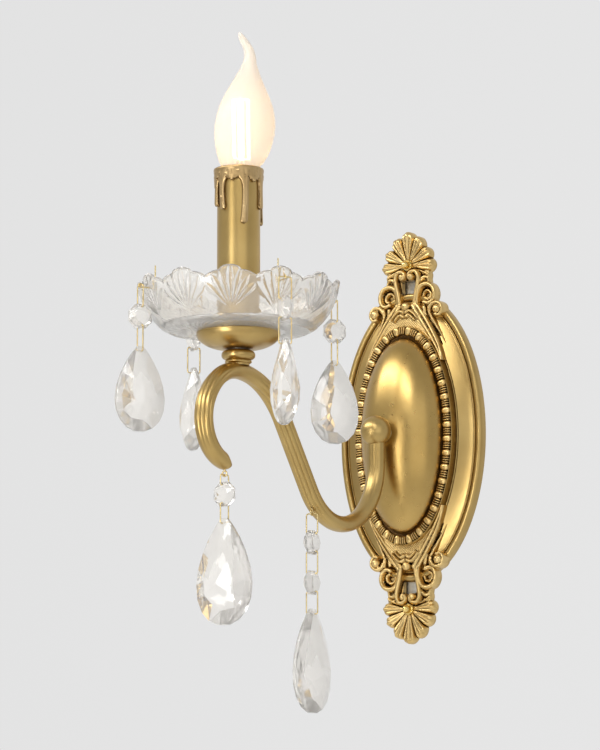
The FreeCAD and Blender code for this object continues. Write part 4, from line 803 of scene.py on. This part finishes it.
def make_cup(foot_radius=7.8, wall=1.2, lip=0.6):
    """Spun cup: foot, flaring side with a rolled lip and the inside back down."""
    foot, rim, radius = CUP_LOW[2], CUP_HIGH[2], CUP_HIGH[0]
    t = np.linspace(0, 1, 30)
    out = foot_radius + (radius - foot_radius) * np.sin(t * np.pi / 2) ** 0.92
    up = foot + (rim - foot - 0.9) * (1 - np.cos(t * np.pi / 2)) ** 0.9
    profile = [(TUBE_BORE, foot)] + list(zip(out, up))
    profile += arc((radius - lip, rim - 0.75), lip, -40, 200, 8)
    profile += list(zip((out - wall)[::-1], (up + 1.0)[::-1])) + [(TUBE_BORE, foot + wall)]
    return turned("spun_cup", [(r, min(z, rim - 0.02)) for r, z in profile], steps=120, smooth_angle=50)


for piece, node in ((make_arm(), "arm"), (make_root_ball(), "arm_ball"), (make_knuckle(), "knuckle"),
                    (make_cup(), "cup")):
    dress(piece, SATIN, replaced=(node,))


# ------------------------ glass dish

GLASS_FOOT, GLASS_RIM = GLASS_LOW[2], GLASS_HIGH[2]
GLASS_WALL, GLASS_FLOOR = 3.4, 4.6
LOBE = 30.0                 # degrees from lobe to lobe
# petals cut on each lobe: lean from upright in degrees, reach of the tip and half width in millimetres
PETALS = ((0, 24.5, 2.3), (16, 22.5, 2.0), (-16, 22.5, 2.0), (31, 21.0, 1.9), (-31, 21.0, 1.9),
          (47, 20.5, 2.2), (-47, 20.5, 2.2))
PETAL_DEPTH, PETAL_FOOT = 1.15, 5.6     # the petals spread from a point that high above the dish's foot
# outer side of the dish: radius, height above the foot
SIDE = ((40.2, 0.0), (43.4, 1.6), (47.4, 5.0), (51.2, 9.6), (54.4, 15.4), (56.8, 22.2), (58.2, 29.6))


def rim_height(angle):
    """Height of the dish's edge: each lobe has a tall round middle between two lower shoulders."""
    off = np.abs((angle + LOBE / 2) % LOBE - LOBE / 2)      # degrees from the lobe's middle
    middle = 3.6 * (1 - half_circle(off / 6.6))
    shoulder = 2.9 + 3.0 * (np.clip(off - 6.2, 0, 9) / 8.8) ** 2.2
    return GLASS_RIM - np.where(off < 6.5, np.minimum(middle, shoulder), shoulder)


def fan_cuts(angle, radius, height):
    """Depth of the cuts: on each lobe seven lens-shaped hollows spread from a point low on the side."""
    across = np.radians((angle + LOBE / 2) % LOBE - LOBE / 2) * radius
    up = height - GLASS_FOOT - PETAL_FOOT
    reach, lean = np.hypot(across, up), np.degrees(np.arctan2(across, up))
    depth = np.zeros(reach.shape)
    for middle, tip, half in PETALS:
        along = unit(reach / tip)
        half_here = np.minimum(half * np.sin(np.pi * along) ** 0.6, 0.118 * reach) + 1e-6
        off = np.radians(lean - middle) * reach
        lens = half_circle(off / half_here) * unit(half_here / half * 2.2)
        depth = np.maximum(depth, PETAL_DEPTH * lens * (np.abs(lean - middle) < 30))
    return depth


def make_dish():
    """Closed shell: dimpled underside, cut outer side, thick scalloped edge, plain inside."""
    angle = np.linspace(0, 360, 800, endpoint=False)[None, :]
    way = np.radians(angle)
    line = smooth_line(SIDE, 200)
    rim = rim_height(angle)

    def side_radius(z):
        return np.interp(z - GLASS_FOOT, line[:, 1], line[:, 0])

    def ledge(level, *radii):
        return np.broadcast_to(np.array([[[r, level]] for r in radii]), (len(radii), angle.size, 2))
    t = np.linspace(0, 1, 66)[:, None]
    z = GLASS_FOOT + (rim - GLASS_FOOT) * t
    rounding = 1.3 * unit((t - 0.95) / 0.05) ** 2
    cut = fan_cuts(angle, side_radius(z), z) * unit((1 - t) / 0.05)
    low = unit(1 - (z - GLASS_FOOT) / 7.0) * unit((z - GLASS_FOOT) / 1.0)
    hammered = 0.35 * low * np.sin(way * 60 + 1.3 * z) * np.sin(2.1 * z + way * 24)
    outer = np.stack([side_radius(z) - cut - rounding + hammered, z - 0.2 * (t > 0.99)], -1)
    floor_z = GLASS_FOOT + GLASS_FLOOR
    t = np.linspace(1, 0, 26)[:, None]
    z = floor_z + (rim - 0.2 - floor_z) * t
    radius = side_radius(z) - GLASS_WALL - 1.2 * (1 - t) ** 3
    inner = np.stack([radius + 1.0 * unit((t - 0.93) / 0.07) ** 2, z], -1)
    crown = np.stack([(outer[-1, :, 0] + inner[0, :, 0]) / 2, rim[0]], -1)[None]
    ring = np.linspace(27.5, 39.4, 16)[:, None]
    dimple = np.sin(way * 48 + 0.9 * ring) * np.sin(1.9 * ring + way * 12)
    under = np.stack([ring + 0 * angle, GLASS_FOOT + 0.35 + 0.35 * dimple], -1)
    section = np.concatenate([ledge(GLASS_FOOT, GLASS_BORE, 26.0), under, outer, crown, inner,
                              ledge(floor_z, 34.0, 20.0, GLASS_BORE)])
    x, y = section[..., 0] * np.sin(way), CANDLE_Y - section[..., 0] * np.cos(way)
    return surface("pressed_dish", xyz(x, y, section[..., 1]), close_rows=True, smooth_angle=50)


dress(make_dish(), PRESSED, replaced=("bobeche",))


# ------------------------ sleeve, wax collar

def make_sleeve(wall=0.8):
    """Thin tube with a rolled foot and a softened upper edge."""
    low, high, radius = SLEEVE_LOW[2], SLEEVE_HIGH[2], SLEEVE_HIGH[0]
    profile = [(radius - wall, low), (radius - 0.15, low), (radius, low + 0.2)]
    profile += [(radius, z) for z in np.linspace(low + 2, high - 0.4, 12)]
    profile += [(radius - 0.2, high - 0.1), (radius - 0.6, high - 0.1), (radius - wall, high - 0.4)]
    return turned("candle_tube_sleeve", profile, steps=128)


# each drip: degrees from straight ahead, length below the collar's top, half width, lean of its foot
DRIPS = ((-34, 23.0, 1.9, 0), (-7, 25.4, 2.1, -1), (48, 34.0, 2.2, 1), (106, 24.5, 2.0, 0),
         (142, 32.5, 2.0, 1), (188, 22.0, 1.9, 0), (232, 28.5, 2.1, -1), (286, 21.0, 1.8, 0),
         (18, 9.0, 1.2, 0), (75, 9.5, 1.3, 0), (-72, 11.5, 1.3, 0), (160, 10.0, 1.3, 0),
         (210, 11.0, 1.3, 0), (258, 10.0, 1.3, 0))
COLLAR = 6.6                # height of the collar above its drips
WAX_RADIUS = WAX_HIGH[0] - 1.2      # at which the wax is unrolled
WAX_ROUND = 2 * np.pi * WAX_RADIUS
WAX_THICKEST = 2.1
WAX_BORE = SLEEVE_HIGH[0] + 0.15


def wax_field(x, z):
    """Edge distance and thickness of the wax unrolled round the sleeve; z is 0 at the collar's top.
    Each drip is a rounded ridge with a bulging foot; its head spreads into arches under the collar."""
    down = -z
    edge = down - COLLAR - 0.5 * np.sin(x * 0.55) * np.cos(x * 0.21)
    high = 1.6 + 0.22 * np.sin(x * 1.1 + 1.5 * np.sin(z * 0.7)) + 0.12 * np.sin(z * 2.3 + x * 0.4)
    for angle, length, half, lean in DRIPS:
        across = (x - math.radians(angle) * WAX_RADIUS + WAX_ROUND / 2) % WAX_ROUND - WAX_ROUND / 2
        share = unit(down / length)
        across = across - lean * 0.9 * np.sin(share * np.pi)
        head = 4.2 * np.exp(-np.clip(down - COLLAR + 0.6, 0, None) / 2.0)
        wide = half * (0.74 + 0.26 * share ** 2) + head
        foot = down - length + half
        body = np.where(foot < 0, np.abs(across) - wide, np.hypot(across, foot) - half)
        ridge = half_circle(across / np.where(foot < 0, wide, half))
        ridge = ridge * np.where(foot < 0, 1, half_circle(foot / half))
        groove = 0.18 * np.exp(-(across / (0.3 * half)) ** 2) * (share < 0.7)
        bulge = 0.9 + 1.15 * ridge * (0.8 + 0.2 * share) - groove
        high = np.where(body < 0.3, np.maximum(high * (down < COLLAR), bulge), high)
        edge = np.minimum(edge, body)
    return np.maximum(edge, z + 0.6), np.minimum(high, WAX_THICKEST)


def make_wax():
    """Collar with drips, wrapped round the sleeve, and its rounded top ring."""
    top = WAX_HIGH[2]

    def wrap(x, z, h):
        """Place of an unrolled point: turned round the sleeve, its thickness outwards."""
        angle, out = x / WAX_RADIUS, WAX_BORE + h
        return xyz(out * np.sin(angle), CANDLE_Y - out * np.cos(angle), top + z)
    step = WAX_ROUND / 300
    skin = relief("wax_drips", (-WAX_ROUND / 2, -36.0), (WAX_ROUND / 2 - step * 0.5, 0.0), step, wax_field,
                  wrap, 0.02)
    rise = ((0, 6.0), (1.2, 5.6), (1.7, 3.0), (1.95, 1.4))     # out from the bore, down from the top
    profile = [(WAX_BORE + out, top - down) for out, down in rise]
    profile += arc((WAX_BORE + 0.75, top - 1.25), 1.2, 10, 100, 7)
    profile += [(11.95, top - 0.1), (11.9, top - 0.8), (11.9, top - 1.5), (WAX_BORE - 0.02, top - 1.68)]
    ring = turned("wax_ring", profile, steps=160, smooth_angle=60)
    set_wear(ring, np.full(len(ring.data.vertices), 0.15))
    return merged("wax_collar", [skin, ring])


dress(make_sleeve(), SATIN, replaced=("candle_sleeve",))
dress(make_wax(), WAX, replaced=("drip_cap",))


# ------------------------ lamp

LAMP_RADIUS, LAMP_WALL = 17.5, 0.7
LEAN = 6.3                          # how far the bent tip stands off the axis at its furthest
LEAN_WAY = math.radians(34)         # and which way, from the right towards the wall
# glass from foot to tip: share of the height, of the radius and of the lean
ENVELOPE = ((0.0, 0.36, 0.0), (0.05, 0.37, 0.0), (0.12, 0.44, 0.04), (0.20, 0.606, 0.14),
            (0.264, 0.80, 0.32), (0.345, 0.943, 0.44), (0.448, 1.0, 0.56), (0.55, 0.897, 0.64),
            (0.632, 0.714, 0.69), (0.713, 0.489, 0.79), (0.795, 0.274, 0.93), (0.851, 0.20, 1.0),
            (0.90, 0.175, 0.85), (0.945, 0.15, 0.46), (0.975, 0.11, 0.22), (0.995, 0.05, 0.06))


def make_envelope():
    """Candle-flame glass with a bent tip: level rings of eased radius whose centres lean out and curl back,
    outside and, a wall's thickness in, inside."""
    low, length = LAMP_LOW[2], LAMP_HIGH[2] - LAMP_LOW[2]
    rows = smooth_line(ENVELOPE, 90)
    a = full_turn(96)
    lean = LEAN * rows[:, 2:3]

    def skin(trim):
        """Rings of the glass, a trim inside its outer face."""
        radius = np.maximum(LAMP_RADIUS * rows[:, 1:2] - trim, 0.05)
        return xyz(lean * math.cos(LEAN_WAY) + radius * np.cos(a),
                   CANDLE_Y + lean * math.sin(LEAN_WAY) + radius * np.sin(a), low + length * rows[:, :1])
    outer, inner = skin(0.0), skin(LAMP_WALL)[:-3]
    tip, inner_tip = (side[-1:].mean(1, keepdims=True) + np.zeros_like(side[-1:])
                      for side in (outer, inner))
    tip[..., 2] += 0.3
    return merged("flame_glass", [
        surface("glass_out", np.concatenate([outer, tip]), smooth_angle=80),
        surface("glass_in", np.concatenate([inner_tip, inner[::-1]]), smooth_angle=80)])


dress(make_envelope(), LAMP_GLASS, body="lamp", replaced=("bulb_glass",))


# ------------------------ nodes that keep their shape

for node in NODES:
    if node.startswith(("bead_", "drop_")) and node != "bead_ring":
        paint(node, CRYSTAL)
    elif node.startswith(("clip_", "link_")) or node in ("rim_hooks", "arm_eyes"):
        paint(node, WIRE)
for node in ("wall_strap", "mounting_studs", "stud_lock_nuts", "arm_tube", "arm_washer", "arm_nut",
             "candle_tube", "bobeche_washer", "bobeche_nut", "holder_bracket", "bulb_cap", "bulb_contact"):
    paint(node, ZINC)
for node, material in (("lampholder_shell", POLISHED), ("lampholder_contact", POLISHED),
                       ("lampholder_body", CREAM), ("bulb_insulator", BLACK), ("bulb_stem", LAMP_GLASS),
                       ("bulb_filaments", GLOW)):
    paint(node, material)


# ------------------------ floor, light, camera

ROOM, PALE = (0.36, 0.36, 0.36), (0.82, 0.82, 0.82)     # surround in front of the wall and behind it
FLOOR_Z, FLOOR_GLOW = -1650.0, 0.25     # as far below as a wall light hangs


def seen_directly(s):
    """Node and output that are 1 for the rays that show the background: camera, through glass, in metal."""
    path = s.node("ShaderNodeLightPath")
    found, output = path, "Is Camera Ray"
    for other in ("Is Transmission Ray", "Is Glossy Ray"):
        either = s.node("ShaderNodeMath", operation="MAXIMUM")
        s.join(found, output, either, 0)
        s.join(path, other, either, 1)
        found, output = either, 0
    return found, output


def floor():
    """Round pale floor; rays that show the background see it a little brighter."""
    a, r = full_turn(96), np.array([1.0, 800.0, 6000.0, 60000.0])[:, None]
    obj = surface("floor", xyz(r * np.cos(a), r * np.sin(a), FLOOR_Z))
    s = Shader("floor_pale")
    s.tone(s.noise(2.0, 3.0), (0.78, 0.78, 0.77), (0.82, 0.82, 0.81))
    s.set(Roughness=0.9, Emission_Color=(0.8, 0.8, 0.8, 1.0))
    s.join(s.range(*seen_directly(s), 0.0, FLOOR_GLOW), "Result", s.bsdf, "Emission Strength")
    obj.data.materials.append(s.material)


def world():
    """Pale surround, the same for every ray: a little dimmer towards the front, where the room would be."""
    scene_world = bpy.data.worlds.new("studio")
    scene_world.use_nodes = True
    tree = scene_world.node_tree
    tree.nodes.clear()
    out, place, split, spread, ramp, pale = (tree.nodes.new("ShaderNode" + kind) for kind in (
        "OutputWorld", "TexCoord", "SeparateXYZ", "MapRange", "ValToRGB", "Background"))
    spread.inputs["From Min"].default_value = -1.0
    ramp.color_ramp.elements[0].color = (*ROOM, 1.0)
    ramp.color_ramp.elements[1].color = (*PALE, 1.0)
    for source, output, target, socket in (
            (place, "Generated", split, 0), (split, "Y", spread, "Value"), (spread, "Result", ramp, "Fac"),
            (ramp, "Color", pale, "Color"), (pale, 0, out, "Surface")):
        tree.links.new(source.outputs[output], target.inputs[socket])
    bpy.context.scene.world = scene_world


def area_light(name, place, size, power, aim=(0, -0.1, 0)):
    """Soft box at a place in metres, turned to its aim; power in watts."""
    data = bpy.data.lights.new(name, "AREA")
    data.shape = "RECTANGLE"
    data.size, data.size_y = size
    data.energy = power
    lamp = linked(name, data)
    lamp.rotation_euler = Vector(np.subtract(aim, place)).to_track_quat("-Z", "Y").to_euler()
    lamp.location = place


def camera():
    """Long lens from the right and a little below; the model's origin falls on its pixel in the photo."""
    width, height, origin_px = 600, 750, (414.8, 437.7)
    focal_px, distance = 4130.0, 2.5
    round_, below = math.radians(34.0), math.radians(8.5)
    toward = np.array([math.sin(round_) * math.cos(below), -math.cos(round_) * math.cos(below),
                       -math.sin(below)])
    right = np.array([math.cos(round_), math.sin(round_), 0.0])
    up = np.cross(toward, right)
    shift_right = (origin_px[0] - width / 2) / focal_px * distance
    shift_up = (height / 2 - origin_px[1]) / focal_px * distance
    place = distance * toward - shift_right * right - shift_up * up
    data = bpy.data.cameras.new("camera")
    data.sensor_fit = "VERTICAL"
    data.sensor_height = 24.0
    data.lens = focal_px / height * data.sensor_height
    data.clip_end = 100.0
    obj = linked("camera", data)
    axes = np.stack([right, up, toward], 1)
    obj.matrix_world = Matrix([[*row, p] for row, p in zip(axes.tolist(), place)] + [[0, 0, 0, 1]])
    bpy.context.scene.camera = obj


floor()
world()
area_light("key", (-0.42, -1.40, 1.22), (3.4, 0.45), 35.0)
area_light("fill", (1.5, -1.3, 0.2), (1.6, 1.6), 5.0)
area_light("front", (-0.08, -1.70, -0.28), (0.4, 1.2), 11.0)
camera()
bpy.context.scene.view_settings.view_transform = "Standard"
